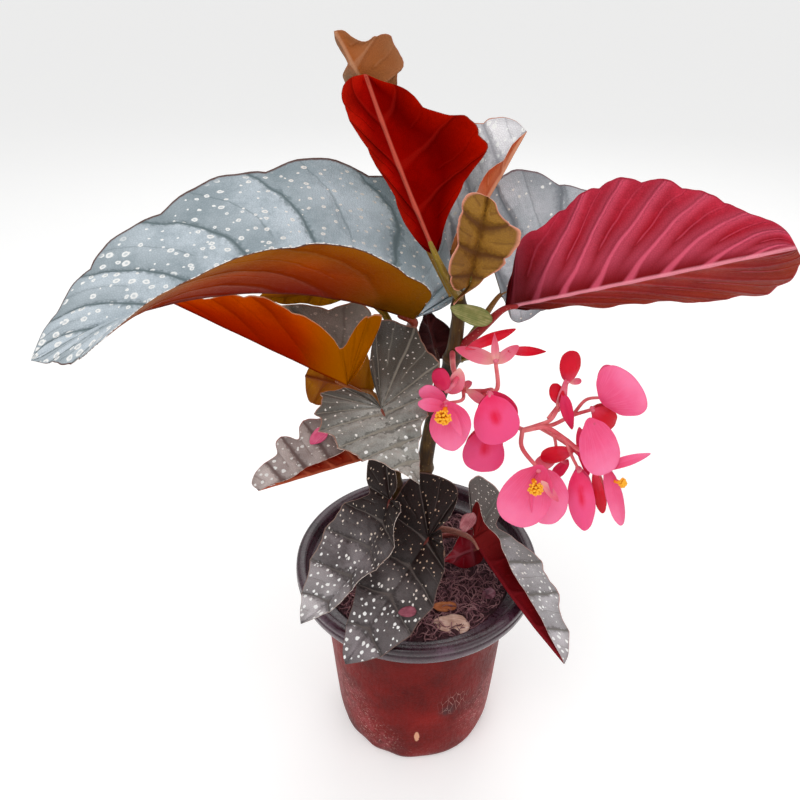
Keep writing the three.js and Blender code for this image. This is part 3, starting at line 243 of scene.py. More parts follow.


# Above, painted shade darkens each blade by its stalk, its veins and its pleats; painted sheen lightens its
# tip
LOOKS = {
    "leaf_left_large": look(
        ["#A6B2BA", "#CCD6DE", "#5E6E72"], (5, 0.95), "#7E5000", "#5C1400", ["#6E4A10", "#84301A"],
        ["#741400", "#A03C00", "#9A5C00"], ["#7C1E00", "#983A00", "#944C00"], edge="#5A3E38",
        lip="#FFFAF6", hollow=0.6, slant=0.45, vein=0.3, band=0.12, lean=1.2, vein_glow=0.1, sheen=0.02,
        vein_width=0.7, line="#58686C",
    ),
    "leaf_top_red": look(
        ["#5E6C64", "#74827C", "#38463E"], (7, 1), "#640000", "#A02018", ["#80661C", "#8E7424"],
        ["#880400", "#680000", "#A81000"], ["#8A0402", "#A80A04", "#BC1C0C"], rib="#C85848", vein=0.18,
        vein_glow=0.04, sheen=0.0, edge="#8A2C1C", lip="#C05040", shade="#500000", lean=0.6,
    ),
    "leaf_top_young": look(
        ["#A06A40", "#B4947C", "#7A4828"], (5, 0.9), "#8A4820", "#C8906C", ["#8C6A24", "#7C5818"],
        ["#A85A28", "#AC6636", "#A4704C"], ["#8A4A24", "#A47A5C", "#9A8870"], edge="#B07058",
        lip="#E0C0B0", vein=0.4, vein_glow=0.15,
    ),
    "leaf_upper_folded": look(
        ["#D4D2D6", "#F8F6F8", "#9A989E"], (5, 0.8), "#74501C", "#DC9878", ["#7A661C", "#6C5614"],
        ["#A83C14", "#C2602E", "#B44A24"], ["#A03410", "#C8653C", "#B84828"], edge="#C08068",
        lip="#F0DCD4", vein=0.5,
    ),
    "leaf_back_silver": look(
        ["#98A8AC", "#B8C6C8", "#5C6E70"], (5.5, 1), "#6E5A14", "#7A3010", ["#6E6A1C", "#7A4E1C"],
        ["#8A4A14", "#9A5A1C", "#8E5824"], hollow=0.5,
    ),
    "leaf_back_right": look(
        ["#B4B8BE", "#DCDCE2", "#6E7278"], (7, 0.8), "#6E5A14", "#7A3010", ["#6E6A1C", "#7A4E1C"],
        ["#8A4A14", "#9A5A1C", "#8E5824"], slant=0.5, edge="#7A6468",
    ),
    # Right half: the red underside with painted light shining through it, bright magenta with a wide pink
    # glow
    "leaf_right_large": look(
        ["#6E7E78", "#86948E", "#42524A"], (8, 1.1), "#480000", "#E8607C", ["#8E1C24", "#A02C2C"],
        ["#9A200C", "#8A1C00", "#942C00"], ["#780008", "#A0081C", "#CC3048"], rib="#F090A0", vein=0.6,
        vein_glow=0.5, left_veins=0.12, edge="#A8283C", lip="#E07488", shade="#680008", lean=1.6,
        sheen=0.1,
    ),
    "leaf_young_frilled": look(
        ["#8A5C1E", "#A4762C", "#5C3410"], (50, 0.1), "#6A5A14", "#6A3C14", ["#6E6418", "#5E5010"],
        ["#7A4A12", "#905E1C", "#B47444"], edge="#DC9078", lip="#F0B8A0", fringe=0.14, ruffle=1.2,
        band=0.4, gloss=0.2, vein_glow=0.2,
    ),
    "leaf_left_back": look(
        ["#B4880C", "#CC9C14", "#8A640C"], (50, 0.1), "#8E8008", "#9A5804", ["#6E6A14", "#6E5A14"],
        ["#C07C00", "#E49800", "#D89000"], edge="#A87C4C", vein_glow=0.1, gloss=0.2,
    ),
    "leaf_left_orange": look(
        ["#B4B2AC", "#DCD6D0", "#6C6A62"], (5, 0.95), "#A05A00", "#6A0E00", ["#8A6A18", "#8A4A18"],
        ["#8C1400", "#A82A00", "#C44A00"], ["#A03400", "#C25200", "#CC7A00"], edge="#C4805C",
        lip="#F0C8A8", vein=0.3, vein_glow=0.1, hollow=0.4, lean=0.8, sheen=0.0,
    ),
    "leaf_left_under": look(
        ["#7C6C20", "#8C7C2C", "#5C4E14"], (50, 0.1), "#8A5800", "#703004", ["#7C6814", "#805018"],
        ["#844000", "#A26404", "#8A500C"], edge="#A8703C", vein_glow=0.15, gloss=0.2,
    ),
    "leaf_front_mid": look(
        ["#8A8882", "#B8B6B0", "#4A4640"], (4.4, 0.7), "#5A2418", "#984038", ["#6A3024", "#7C4438"],
        ["#6A0C10", "#7C1614", "#6E1814"], base="#565048", fade=(-0.4, 0.2), line="#948E82", band=0.2,
        edge="#9A6E5C", lip="#E4D4CA", spot_base="#E8E0D8", slant=0.5, rim_dark=0.1, tip="#B4A8A0",
        vein_width=0.5,
    ),
    "leaf_lower_left": look(
        ["#BCB0AC", "#DCD2CE", "#6A5450"], (4.2, 0.75), "#5A2008", "#B85A3C", ["#6A3C1C", "#7C3C28"],
        ["#6C0C00", "#801200", "#5E0800"], base="#5A4038", fade=(0.1, 0.6), edge="#A8685C", lip="#F0D8CC",
        slant=0.5, band=0.24, tip="#D8CCC8",
    ),
    "leaf_bottom_left": look(
        ["#5C5254", "#8A8284", "#201410"], (3.9, 0.7), "#5A1410", "#8A3030", ["#5A2820", "#6A3028"],
        ["#5A080E", "#6A1014", "#5A0C10"], base="#1C0C08", fade=(0.05, 0.55), line="#5C5450", band=0.22,
        edge="#8C7468", lip="#DCD0C8", spot_base="#D8C4B0", slant=0.55, rim_dark=0.0, tip="#E4DEE0",
        tip_at=0.45, vein_width=0.5,
    ),
    "leaf_bottom_front": look(
        ["#4C4444", "#726A6A", "#1A100C"], (3.7, 0.66), "#5A1410", "#8A3030", ["#5A2820", "#6A3028"],
        ["#5A080E", "#6A1014", "#5A0C10"], base="#1E0C08", fade=(0.05, 0.6), line="#5A504C", band=0.22,
        edge="#6C5048", lip="#B4A498", spot_base="#D4B498", slant=0.5, rim_dark=0.1, tip="#9C9296",
        tip_at=0.5, vein_width=0.5,
    ),
    "leaf_bottom_right": look(
        ["#A8A4A6", "#CCC8CC", "#504A46"], (4, 0.68), "#7A1C1C", "#7C1820", ["#8E5448", "#A0685A"],
        ["#58020A", "#6A020C", "#5A0208"], ["#58020A", "#660208", "#4C0002"], base="#5C504C",
        fade=(-0.1, 0.35), line="#6C6860", edge="#B08880", lip="#E8DCD4", band=0.2, vein_glow=0.15,
        vein=0.4, slant=0.4, shade="#3C0002", tip="#D0C8CC", vein_width=0.6,
    ),
    "leaf_low_red": look(
        ["#4A4840", "#5A584E", "#2A2822"], (6, 0.7), "#8E1820", "#B05A64", ["#8A3C38", "#A0544C"],
        ["#9C1020", "#B01C2E", "#8A0E1C"], edge="#7A1C22", vein_glow=0.4,
    ),
    "leaf_small_dark": look(
        ["#341C1E", "#4A2A2C", "#1E0E10"], (50, 0.1), "#3C1414", "#4E2424", ["#4A1C1C", "#4A2418"],
        ["#2C0C0E", "#3C1616", "#2E1010"], edge="#4A2020", lip="#6A3430", vein_glow=0.2,
    ),
    "leaf_small_olive": look(
        ["#5E5E18", "#746E24", "#40400E"], (50, 0.1), "#6A5C10", "#6A4A14", ["#54500E", "#645414"],
        ["#6A5414", "#7A6418", "#7A601C"], edge="#7A5A24", vein_glow=0.2,
    ),
}

# Flowers, with the values of the solids. The solid of flower_bud_red has a fourth small tepal.
BLOOMS = {
    "flower_stamens_left": bloom(
        [10, -68, 312], 2.3,
        ("pink", [11, -70, 314], [13.5, -75, 290], 22, [0.1, -1, 0.3], 2, 0.45),
        ("pink", [10, -68, 313], [-2, -73, 323], 8, [-0.1, -1, 0.2], 1),
        ("pink", [10, -70, 311], [-3, -77, 318], 7, [0, -1, 0.5], 1, 0.3),
        ("pink", [11, -70, 311], [17, -77, 300], 5, [0.3, -1, 0.3], 1, 0.6),
    ),
    "flower_bud_left": bloom(
        [11, -58, 313], 1.9,
        ("rose", [11, -59, 313], [6, -58, 324], 8, [0, -1, 0.3], -1.6),
        ("rose", [11, -57, 313], [6, -55, 323], 7.5, [0, 1, -0.2], -1.4),
        ("pale", [17, -53, 322], [15, -56, 310], 8, [0.2, -1, 0.1], 0.8),
        bridges=[[[11, -58, 313], [14, -56, 315], [16, -54, 317]]],
    ),
    "flower_disc_upper": bloom(
        [32, -54, 308], 2.2,
        ("spot", [31, -56, 309], [39, -62, 285], 22, [0.1, -1, 0.3], -2.4),
        ("rose", [32, -53, 309], [40, -54, 287], 20, [0, 1, -0.3], -1.5),
    ),
    "flower_disc_lower": bloom(
        [34, -46, 283], 2.2,
        ("spot", [33, -48, 284], [31, -53, 260], 21, [-0.1, -1, 0.35], -2.4),
        ("rose", [34, -45, 284], [32, -44, 262], 19, [0, 1, -0.3], -1.5),
    ),
    "flower_open_upper": bloom(
        [36, -38, 318], 2,
        ("pale", [36, -39, 317], [34, -40, 334], 5, [0, -1, 0.1], 0.6, 0.9),
        ("pale", [37, -38, 317], [16, -35, 323], 9, [0.2, -1, 0.2], 1, 0.6),
        ("pale", [36, -38, 316], [47, -36, 325], 7, [-0.2, -1, 0.3], 1, 0.5),
        ("red", [42, -36, 322], [62, -31, 319], 6, [0, -0.8, 0.6], 1, 0.7),
        ("red", [21, -36, 323], [46, -30, 331], 7, [0.2, -1, 0.2], 1, 0.6),
    ),
    "flower_right_disc": bloom(
        [89, -47, 302], 2,
        ("pink", [88, -49, 300], [103, -52, 313.5], 31, [0.1, -1, 0.3], -2),
        ("pink", [89, -46, 301], [101, -45, 311], 27, [0, 1, -0.2], -1.4),
    ),
    "flower_bud_top": bloom(
        [72, -41, 308], 2,
        ("red", [72, -42, 307], [72, -41, 325], 10, [0, -1, 0.2], -2),
        ("red", [72, -40, 307], [73, -38, 323], 10, [0, 1, -0.1], -1.6),
        ("pale", [73, -41, 307], [79, -41, 308], 3.5, [0, -1, 0.2], 0.5),
    ),
    "flower_bud_red": bloom(
        [69, -45, 297], 1.8,
        ("red", [69, -45, 296], [64.5, -45, 309], 8, [-0.3, -1, 0.2], -1, 0.3),
        ("pale", [69, -45, 292], [69, -48, 313], 7, [0.4, -1, 0.2], 1, 0.7),
        ("rose", [69, -46, 304], [75.5, -50.5, 285], 8, [0.3, -1, 0.3], 1, 0.7),
    ),
    "flower_red_right": bloom(
        [86, -44, 293], 2,
        ("red", [86, -45, 294], [98, -45, 283], 12, [0.2, -1, 0.3], -1.8),
        ("red", [86, -43, 294], [98, -42, 286], 11, [0, 1, -0.1], -1.4),
    ),
    "flower_large_right": bloom(
        [88, -57, 276], 2.6,
        ("pink", [80, -58, 297], [93, -63, 267], 20, [0.2, -1, 0.3], -2.2),
        ("rose", [77.5, -54.5, 289.5], [87, -52.5, 257], 8, [-0.7, -1, 0.1], 1, 0.5),
        ("pink", [90, -60, 267.5], [113, -61, 278], 6.5, [0, -0.6, 1], 1, 0.6),
        ("pink", [93, -60, 270], [106, -62, 231], 10, [-0.7, -1, 0.2], 1.4, 0.3),
        bridges=[[[88, -56, 276], [84, -57, 286], [83, -58, 294]], [[85, -56, 284], [78.5, -52.5, 286]],
            [[88, -57, 276], [91, -60, 269], [94, -60, 266]]],
    ),
    "flower_front": bloom(
        [57, -67, 273], 2.3,
        ("pink", [58, -69, 277], [46, -72, 241], 25, [-0.15, -1, 0.4]),
        ("pink", [58, -68, 274], [69, -68, 239], 21, [0.25, -1, 0.4]),
        ("pale", [58, -71, 269], [67, -75, 259], 5, [0.2, -1, 0.6], 1, 0.5),
    ),
    "flower_hanging": bloom(
        [80, -57, 265], 2.2,
        ("spot", [79, -58, 266], [88, -61, 227], 15, [-0.1, -1, 0.2], -2.2, 0.3),
        ("pink", [80, -56, 266], [88, -56, 230], 14, [0, 1, -0.1], -1.6, 0.3),
    ),
    "flower_slender": bloom(
        [91, -50, 259], 1.8,
        ("red", [90, -51, 260], [99, -52, 231], 6, [-0.3, -1, 0.1], -1),
        ("pale", [92, -49, 260], [100, -50, 232], 5, [0.4, 1, 0], -1),
    ),
    "flower_bud_low": bloom(
        [70, -51, 268], 2,
        ("red", [78, -51, 272], [61, -52, 269], 9, [0, -1, 0.3], -1.5),
        ("pale", [71, -50, 270], [59, -52, 262], 8, [-0.1, -1, 0.4], 1),
        ("rose", [76, -50, 266], [70, -50, 254], 7, [0.1, -1, 0.2], 1),
        bridges=[[[70, -51, 268], [75, -51, 271]], [[70, -51, 268], [75, -50, 264]]],
    ),
}


# Numbers: smooth curves, tubes and the leaf surface
def unit(v):
    v = np.asarray(v, float)
    return v / np.linalg.norm(v)


def axes(start, end, faces):
    """The start, the length to the end, and unit vectors ahead, to the left and up from the face."""
    start, end, faces = (np.array(q, float) for q in (start, end, faces))
    length = np.linalg.norm(end - start)
    X = (end - start) / length
    Z = unit(faces - X * faces.dot(X))
    return start, length, X, np.cross(Z, X), Z


def smoothstep(low, high, x):
    t = np.clip((x - low) / (high - low), 0, 1)
    return t * t * (3 - 2 * t)


def bell(x, width):
    return np.exp(-((x / width) ** 2))


def around(sides):
    return np.linspace(0, TURN, sides, endpoint=False)


def with_ends(points):
    """The points as an array, and the same with a mirrored one before and after them."""
    p = np.asarray(points, float)
    return p, np.vstack([2 * p[0] - p[1], p, 2 * p[-1] - p[-2]])


def curve_through(points, u):
    """Uniform Catmull-Rom through the points at shares u of its length."""
    p, e = with_ends(points)
    n = len(p) - 1
    at = np.clip(u, 0, 1) * n
    i = np.minimum(at.astype(int), n - 1)
    f = (at - i)[..., None]
    a, b, c, d = e[i], e[i + 1], e[i + 2], e[i + 3]
    square = (2 * a - 5 * b + 4 * c - d) * f * f
    return 0.5 * (2 * b + (c - a) * f + square + (3 * b - a - 3 * c + d) * f**3)


def smooth_path(points, count):
    """Centripetal Catmull-Rom through the points, resampled to even steps."""
    p, e = with_ends(points)
    fine = []
    for i in range(len(p) - 1):
        a, b, c, d = e[i : i + 4]
        ta, tb, tc = (max(np.linalg.norm(q - r) ** 0.5, 1e-4) for q, r in ((b, a), (c, b), (d, c)))
        m1 = ((b - a) / ta - (c - a) / (ta + tb) + (c - b) / tb) * tb
        m2 = ((c - b) / tb - (d - b) / (tb + tc) + (d - c) / tc) * tb
        f = np.linspace(0, 1, 25)[min(i, 1) :, None]
        fine.append(b + m1 * f + (3 * (c - b) - 2 * m1 - m2) * f**2 + (2 * (b - c) + m1 + m2) * f**3)
    fine = np.vstack(fine)
    walked = np.concatenate([[0], np.cumsum(np.linalg.norm(np.diff(fine, axis=0), axis=1))])
    want = np.linspace(0, walked[-1], count)
    return np.stack([np.interp(want, walked, fine[:, k]) for k in range(3)], 1)


def frames_along(path):
    """Side vectors carried along a path without twist."""
    ahead = np.gradient(path, axis=0)
    ahead /= np.linalg.norm(ahead, axis=1)[:, None]
    side = [unit(np.cross(ahead[0], [0.3, 0.9, 0.2]))]
    for way in ahead[1:]:
        side.append(unit(side[-1] - way * side[-1].dot(way)))
    side = np.array(side)
    return side, np.cross(ahead, side)


# The phase of a point on a tube is its angle over this
TUBE_TURN = 6.3


class Build:
    """Gathers grids of points into one mesh with a material per face and named corner values."""

    NAMES = ("phase", "across", "flat_x", "flat_y")

    def __init__(self):
        self.points, self.values, self.quads, self.mats, self.shells = [], [], [], [], []
        self.count = 0
        self.shell = 0

    def grid(self, points, values, mat, flip=False, closed=False, weld=False):
        """points is (rows, columns, 3), values 0 or (rows, columns, 4); weld joins it to the last one."""
        rows, cols = points.shape[:2]
        if not weld:
            self.shell += 1
        index = self.count + np.arange(rows * cols).reshape(rows, cols)
        if closed:
            index = np.concatenate([index, index[:, :1]], axis=1)
        a, b, c, d = index[:-1, :-1], index[:-1, 1:], index[1:, 1:], index[1:, :-1]
        quads = np.stack([a, d, c, b] if flip else [a, b, c, d], -1).reshape(-1, 4)
        self.points.append(points.reshape(-1, 3))
        self.values.append(np.broadcast_to(values, (rows, cols, 4)).reshape(-1, 4))
        self.quads.append(quads)
        self.mats.append(np.full(len(quads), mat))
        self.shells.append(np.full(rows * cols, self.shell))
        self.count += rows * cols

    def tube(self, path, radii, mat, sides=10, each=0, steps=None):
        """A round-ended tube along a smooth path; radii run evenly from end to end.
        flat_x is the way along it, and flat_y holds the number of each tube's own."""
        path = smooth_path(path, steps or max(8, 5 * len(path)))
        side, up = frames_along(path)
        share = np.linspace(0, 1, len(path))
        radius = np.interp(share, np.linspace(0, 1, len(radii)), radii)
        tip = unit(np.gradient(path, axis=0)[-1]) * radius[-1] * 0.6
        path = np.vstack([path, path[-1] + tip, path[-1] + tip * 1.25])
        radius = np.concatenate([radius, [radius[-1] * 0.7, 0.01]])
        side, up = (np.vstack([q, q[-1:], q[-1:]]) for q in (side, up))
        angle = around(sides)
        ring = side[:, None] * np.cos(angle)[:, None] + up[:, None] * np.sin(angle)[:, None]
        values = np.zeros((len(path), sides, 4))
        values[..., 0] = angle / TUBE_TURN
        values[..., 2] = np.concatenate([share, [1, 1]])[:, None]
        values[..., 3] = each
        self.grid(path[:, None] + ring * radius[:, None, None], values, mat, closed=True)

    def finish(self, name, *materials):
        """Joins the points that meet in one shell, drops faces that shrink away, and makes the piece."""
        points, values, quads = (np.vstack(q) for q in (self.points, self.values, self.quads))
        key = np.column_stack([np.concatenate(self.shells), np.round(points * 2e3).astype(np.int64)])
        _, first, back = np.unique(key, axis=0, return_index=True, return_inverse=True)
        back = back.reshape(-1)
        faces, corners, kinds = [], [], []
        for quad, kind in zip(quads.tolist(), np.concatenate(self.mats).tolist()):
            face = {}
            for corner in quad:
                face.setdefault(int(back[corner]), corner)
            if len(face) > 2:
                faces.append(list(face))
                corners.extend(face.values())
                kinds.append(kind)
        mesh = bpy.data.meshes.new(name)
        mesh.from_pydata((points[first] * MM).tolist(), [], faces)
        mesh.polygons.foreach_set("material_index", kinds)
        mesh.polygons.foreach_set("use_smooth", [True] * len(faces))
        for k, label in enumerate(self.NAMES):
            layer = mesh.attributes.new(label, "FLOAT", "CORNER")
            layer.data.foreach_set("value", values[corners, k].astype(np.float32))
        mesh.update()
        for material in materials:
            mesh.materials.append(material)
        piece = bpy.data.objects.new(name, mesh)
        bpy.context.scene.collection.objects.link(piece)
        return piece


def keep(piece, slot, *nodes):
    """The piece rides on the object and stands for the nodes. The slot is not used."""
    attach(piece, "root")
    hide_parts(*nodes)


# Leaf surface, with u along the margin from base to tip and s from the midrib to the margin.
# LOBE_SHAPE and BLADE_SHAPE outline an even half. ROWS are the shares from rib to margin with points.
# VEIN_GAP is the gap between side veins as a share of length over teeth. PUCKER, RIPPLE and VEIN_SINK
# are heights and STALK_UNDER_BLADE is a length, in mm.
LOBE_SHAPE = np.array([(0, 0), (0.5, 0.12), (1, 0.45), (0.62, 0.86)])
BLADE_SHAPE = np.array([(0, 1), (0.357, 0.84), (0.714, 0.42), (0.881, 0.17), (1, 0)])
ROWS = [0, 0.02, 0.05, 0.09, 0.15, 0.22, 0.3, 0.39, 0.49, 0.59, 0.69, 0.77, 0.84, 0.9, 0.95, 0.98, 1]
COLUMNS_PER_TOOTH = 14
RIB_POWER = 1.15
VEIN_GAP = 1.35
TOOTH_REACH = 2.2
PUCKER = 1.3
RIPPLE = 0.9
VEIN_SINK = 0.25
STALK_UNDER_BLADE = 7


def margin(h, u, spread):
    """Margin of half a blade: the share `spread` of u runs round the lobe that starts at the base."""
    if h.outline:
        points = np.array([(0, 0), *h.outline, (1, 0)])
        last = len(points) - 1
        lobe = max(1, *(i for i in range(last) if points[i, 0] <= 0.1))
        run = np.concatenate([[0], np.cumsum(np.linalg.norm(np.diff(points, axis=0), axis=1))])
        shares = np.where(
            run <= run[lobe], spread * run / run[lobe],
            spread + (1 - spread) * (run - run[lobe]) / (run[last] - run[lobe]),
        )
        return curve_through(points, np.interp(u, shares, np.arange(last + 1)) / last)
    x, y = LOBE_SHAPE.T
    lobe = np.stack([-h.lobe * x + h.wedge * y, h.wide * y], 1)
    x, y = BLADE_SHAPE.T
    blade = np.stack([h.peak + (1 - h.peak) * x, h.wide * y**h.taper], 1)
    return curve_through(np.vstack([lobe, blade]), u)


def rib_along(u, spread):
    return (np.maximum(u - spread, 0) / (1 - spread)) ** RIB_POWER


def rim_reach(leaf, side, phase, near_ends, s):
    """How far the margin reaches: waved between the veins' ends, with finer teeth on the waves."""
    depth, notch = leaf.depth, np.abs(np.sin(np.pi * phase))
    tooth = depth * (notch - 1) if depth > 0 else -depth * (0.4 - notch)
    small = 0.22 * (np.abs(np.sin(3 * np.pi * phase + 0.4)) - 0.6) + 0.1 * np.sin(17 * phase + side)
    return 1 + (TOOTH_REACH * tooth + abs(depth) * small) * near_ends * smoothstep(0.66, 1, s)


def relief(side, phase, veined, near_ends, s, ruffle):
    """Height of the pleats between the veins and of the ripples near the margin, in mm."""
    swell = np.abs(np.sin(np.pi * veined)) ** 0.8
    pucker = PUCKER * swell * np.sin(np.pi * np.minimum(s, 0.85)) * near_ends
    ripple = RIPPLE * np.sin(np.pi * phase * 0.9 + side) * s * s * near_ends
    return pucker + (ripple + ruffle * np.sin(2 * np.pi * phase * 0.8 + 2 * side) * s**3 * near_ends)


def rib_relief(rib, from_rib, vein, under):
    """How far the rib and the veins sink into the upper side, or stand out below."""
    if under:
        deep, wide = MIDRIB * (1 - 0.8 * rib) + 0.15, 1.5 - 0.8 * rib
    else:
        deep, wide = 0.35, 1.1
    return -deep * bell(from_rib, wide) - VEIN_SINK * vein


def leaf_surface(leaf, side, u, s, lift, under=False, ruffle=0.0, lean=0.0):
    """Points of a leaf's surface, with their flat places along and across the blade."""
    h = leaf.left if side > 0 else leaf.right
    base, length, X, Y, Z = axes(leaf.base, leaf.tip, leaf.faces)
    rib, edge = rib_along(u, leaf.spread), margin(h, u, leaf.spread)
    phase = u * leaf.teeth
    near_ends = np.minimum(1, np.minimum(u * 7, (1 - u) * 7))
    veined = phase - lean * s * smoothstep(leaf.spread, leaf.spread + 0.25, u)
    reach = rim_reach(leaf, side, phase, near_ends, s)
    x = rib + (edge[..., 0] - rib) * s * reach
    y = edge[..., 1] * s * reach
    off_vein = np.abs((veined + 0.5) % 1 - 0.5) * length * VEIN_GAP / leaf.teeth * (0.2 + 0.8 * s)
    vein = bell(off_vein, 1.3) * (1 - 0.6 * s) * near_ends
    from_rib = s * np.hypot(edge[..., 0] - rib, edge[..., 1]) * length
    raised = relief(side, phase, veined, near_ends, s, ruffle) + lift + rib_relief(rib, from_rib, vein, under)

    # The blade folds along its rib, then arches from base to tip
    t = np.clip(x, 0, 1)
    bend = 4 * t * (1 - t)
    f0, f1, f2 = h.fold
    fold = np.radians(f0 * (1 - t) * (1 - 2 * t) + f1 * bend + f2 * t * (2 * t - 1))
    tilted = np.minimum(1, y * length / 2)
    across = y * length * np.cos(fold) - raised * tilted * np.sin(fold)
    up = y * length * np.sin(fold) + raised * (1 - tilted + tilted * np.cos(fold))
    slope = leaf.arch * 4 * (1 - 2 * t) / length
    steep = np.hypot(slope, 1)
    along = x * length - up * slope / steep
    height = leaf.arch * (bend + 1.2 * np.minimum(x, 0)) + up / steep
    sideways = side * across + leaf.sway * bend
    points = base + X * along[..., None] + Y * sideways[..., None] + Z * height[..., None]
    return points, x, y, veined


# Materials: a small helper that adds nodes, then one function for each kind of surface
def rgba(code):
    """A colour written as on a paint chart, as the linear values that a shader takes."""
    parts = [int(code[k : k + 2], 16) / 255 for k in (1, 3, 5)]
    return [q / 12.92 if q <= 0.04045 else ((q + 0.055) / 1.055) ** 2.4 for q in parts] + [1]


class Value:
    """A node's output. Arithmetic with it adds a math node."""

    def __init__(self, paint, socket):
        self.paint, self.socket = paint, socket

    def __add__(self, other):
        return self.paint.math("ADD", self, other)

    def __sub__(self, number):
        return self + -number

    def __mul__(self, other):
        return self.paint.math("MULTIPLY", self, other)

    def __truediv__(self, other):
        return self.paint.math("DIVIDE", self, other)


class Paint:
    """A material's nodes. colour is what has been laid on so far; each method adds one node."""

    def __init__(self, name, roughness=0.5, **shader):
        self.material = bpy.data.materials.new(name)
        self.material.use_nodes = True
        self.tree = self.material.node_tree
        self.shader = self.tree.nodes["Principled BSDF"]
        self.put(self.shader.inputs["Roughness"], roughness)
        for label, value in shader.items():
            self.put(self.shader.inputs[label.replace("_", " ")], value)

    def put(self, socket, value):
        if isinstance(value, Value):
            self.tree.links.new(value.socket, socket)
        elif isinstance(value, str):
            socket.default_value = rgba(value)
        else:
            socket.default_value = value

    def outputs(self, kind, inputs, **settings):
        made = self.tree.nodes.new(kind)
        for label, value in settings.items():
            setattr(made, label, value)
        for label, value in inputs.items():
            self.put(made.inputs[label], value)
        return made.outputs

    def node(self, kind, inputs, output=0, **settings):
        return Value(self, self.outputs(kind, inputs, **settings)[output])

    def value(self, label):
        return self.node("ShaderNodeAttribute", {}, "Fac", attribute_name=label)

    def place(self):
        """Object coordinates in millimetres."""
        here = self.node("ShaderNodeTexCoord", {}, "Object")
        return self.node("ShaderNodeVectorMath", {0: here, "Scale": 1000.0}, operation="SCALE")

    def vector(self, x, y, z=0.0):
        return self.node("ShaderNodeCombineXYZ", {0: x, 1: y, 2: z})

    def parts(self, vector):
        return [Value(self, q) for q in self.outputs("ShaderNodeSeparateXYZ", {0: vector})]

    def join(self, operation, vector, other=(0, 0, 0), output="Vector"):
        return self.node("ShaderNodeVectorMath", {0: vector, 1: other}, output, operation=operation)

    def stretch(self, vector, x, y, z):
        return self.join("MULTIPLY", vector, (x, y, z))

    def math(self, operation, a, b=0.0):
        return self.node("ShaderNodeMath", {0: a, 1: b}, operation=operation)

    def step(self, value, low, high, start=0.0, end=1.0):
        """A smooth rise from start to end as value goes from low to high."""
        inputs = {"Value": value, "From Min": low, "From Max": high, "To Min": start, "To Max": end}
        return self.node("ShaderNodeMapRange", inputs, interpolation_type="SMOOTHSTEP")

    def mix(self, share, a, b):
        return self.node("ShaderNodeMix", {0: share, 6: a, 7: b}, 2, data_type="RGBA")

    def over(self, share, colour):
        """Lays a colour over what is there, by its share."""
        self.colour = self.mix(share, self.colour, colour)

    def noise(self, where, scale, detail=3.0, rough=0.5, twist=0.0):
        inputs = {"Vector": where, "Scale": scale, "Detail": detail, "Roughness": rough, "Distortion": twist}
        return self.node("ShaderNodeTexNoise", inputs)

    def cells(self, where, scale, feature="F1", output="Distance", flat=False, spread=1.0):
        settings = dict(feature=feature, voronoi_dimensions="2D" if flat else "3D")
        inputs = {"Vector": where, "Scale": scale, "Randomness": spread}
        return self.node("ShaderNodeTexVoronoi", inputs, output, **settings)

    def ramp(self, share, colours, at=None):
        made = self.outputs("ShaderNodeValToRGB", {0: share})
        stops = made[0].node.color_ramp.elements
        while len(stops) < len(colours):
            stops.new(0.5)
        for stop, colour, where in zip(stops, colours, at or np.linspace(0, 1, len(colours)).tolist()):
            stop.position = where
            stop.color = rgba(colour)
        return Value(self, made[0])

    def bump(self, height, strength=0.5, distance=0.0005, under=None):
        inputs = {"Height": height, "Strength": strength, "Distance": distance}
        if under is not None:
            inputs["Normal"] = under
        return self.node("ShaderNodeBump", inputs)

    def done(self, normal=None, roughness=None):
        for label, value in (("Base Color", self.colour), ("Normal", normal), ("Roughness", roughness)):
            if value is not None:
                self.put(self.shader.inputs[label], value)
        return self.material


def leaf_fields(p, length, teeth):
    """What both sides of a leaf use: flat place, noises and distances from the side veins in mm."""
    sector = length * VEIN_GAP / teeth
    phase, across, x, y = (p.value(label) for label in Build.NAMES)
    flat = p.vector(x, y)
    soft, fine = p.noise(flat, 0.045, 3.0), p.noise(flat, 0.45, 4.0)
    bent = phase + (soft - 0.5) * 0.22
    width = (across + 0.22) * sector
    main = p.math("PINGPONG", bent, 0.5) * width
    second = p.math("PINGPONG", bent + 0.5, 0.5) * width + p.step(across, 0.1, 0.45, 1.0, 0.0) * 3.0
    return Named(
        across=across, x=x, y=y, soft=soft, fine=fine, share=p.math("FRACT", bent), main=main,
        second=second, net=p.cells(flat, 0.8, "DISTANCE_TO_EDGE", flat=True), sector=sector,
    )


# Spots: their colour, their growth from the stalk to the tip, and the share of places without one
SPOT = "#F2F2F0"
SPOT_GROWTH = (0.6, 1.25)
BARE_SHARE = 0.1


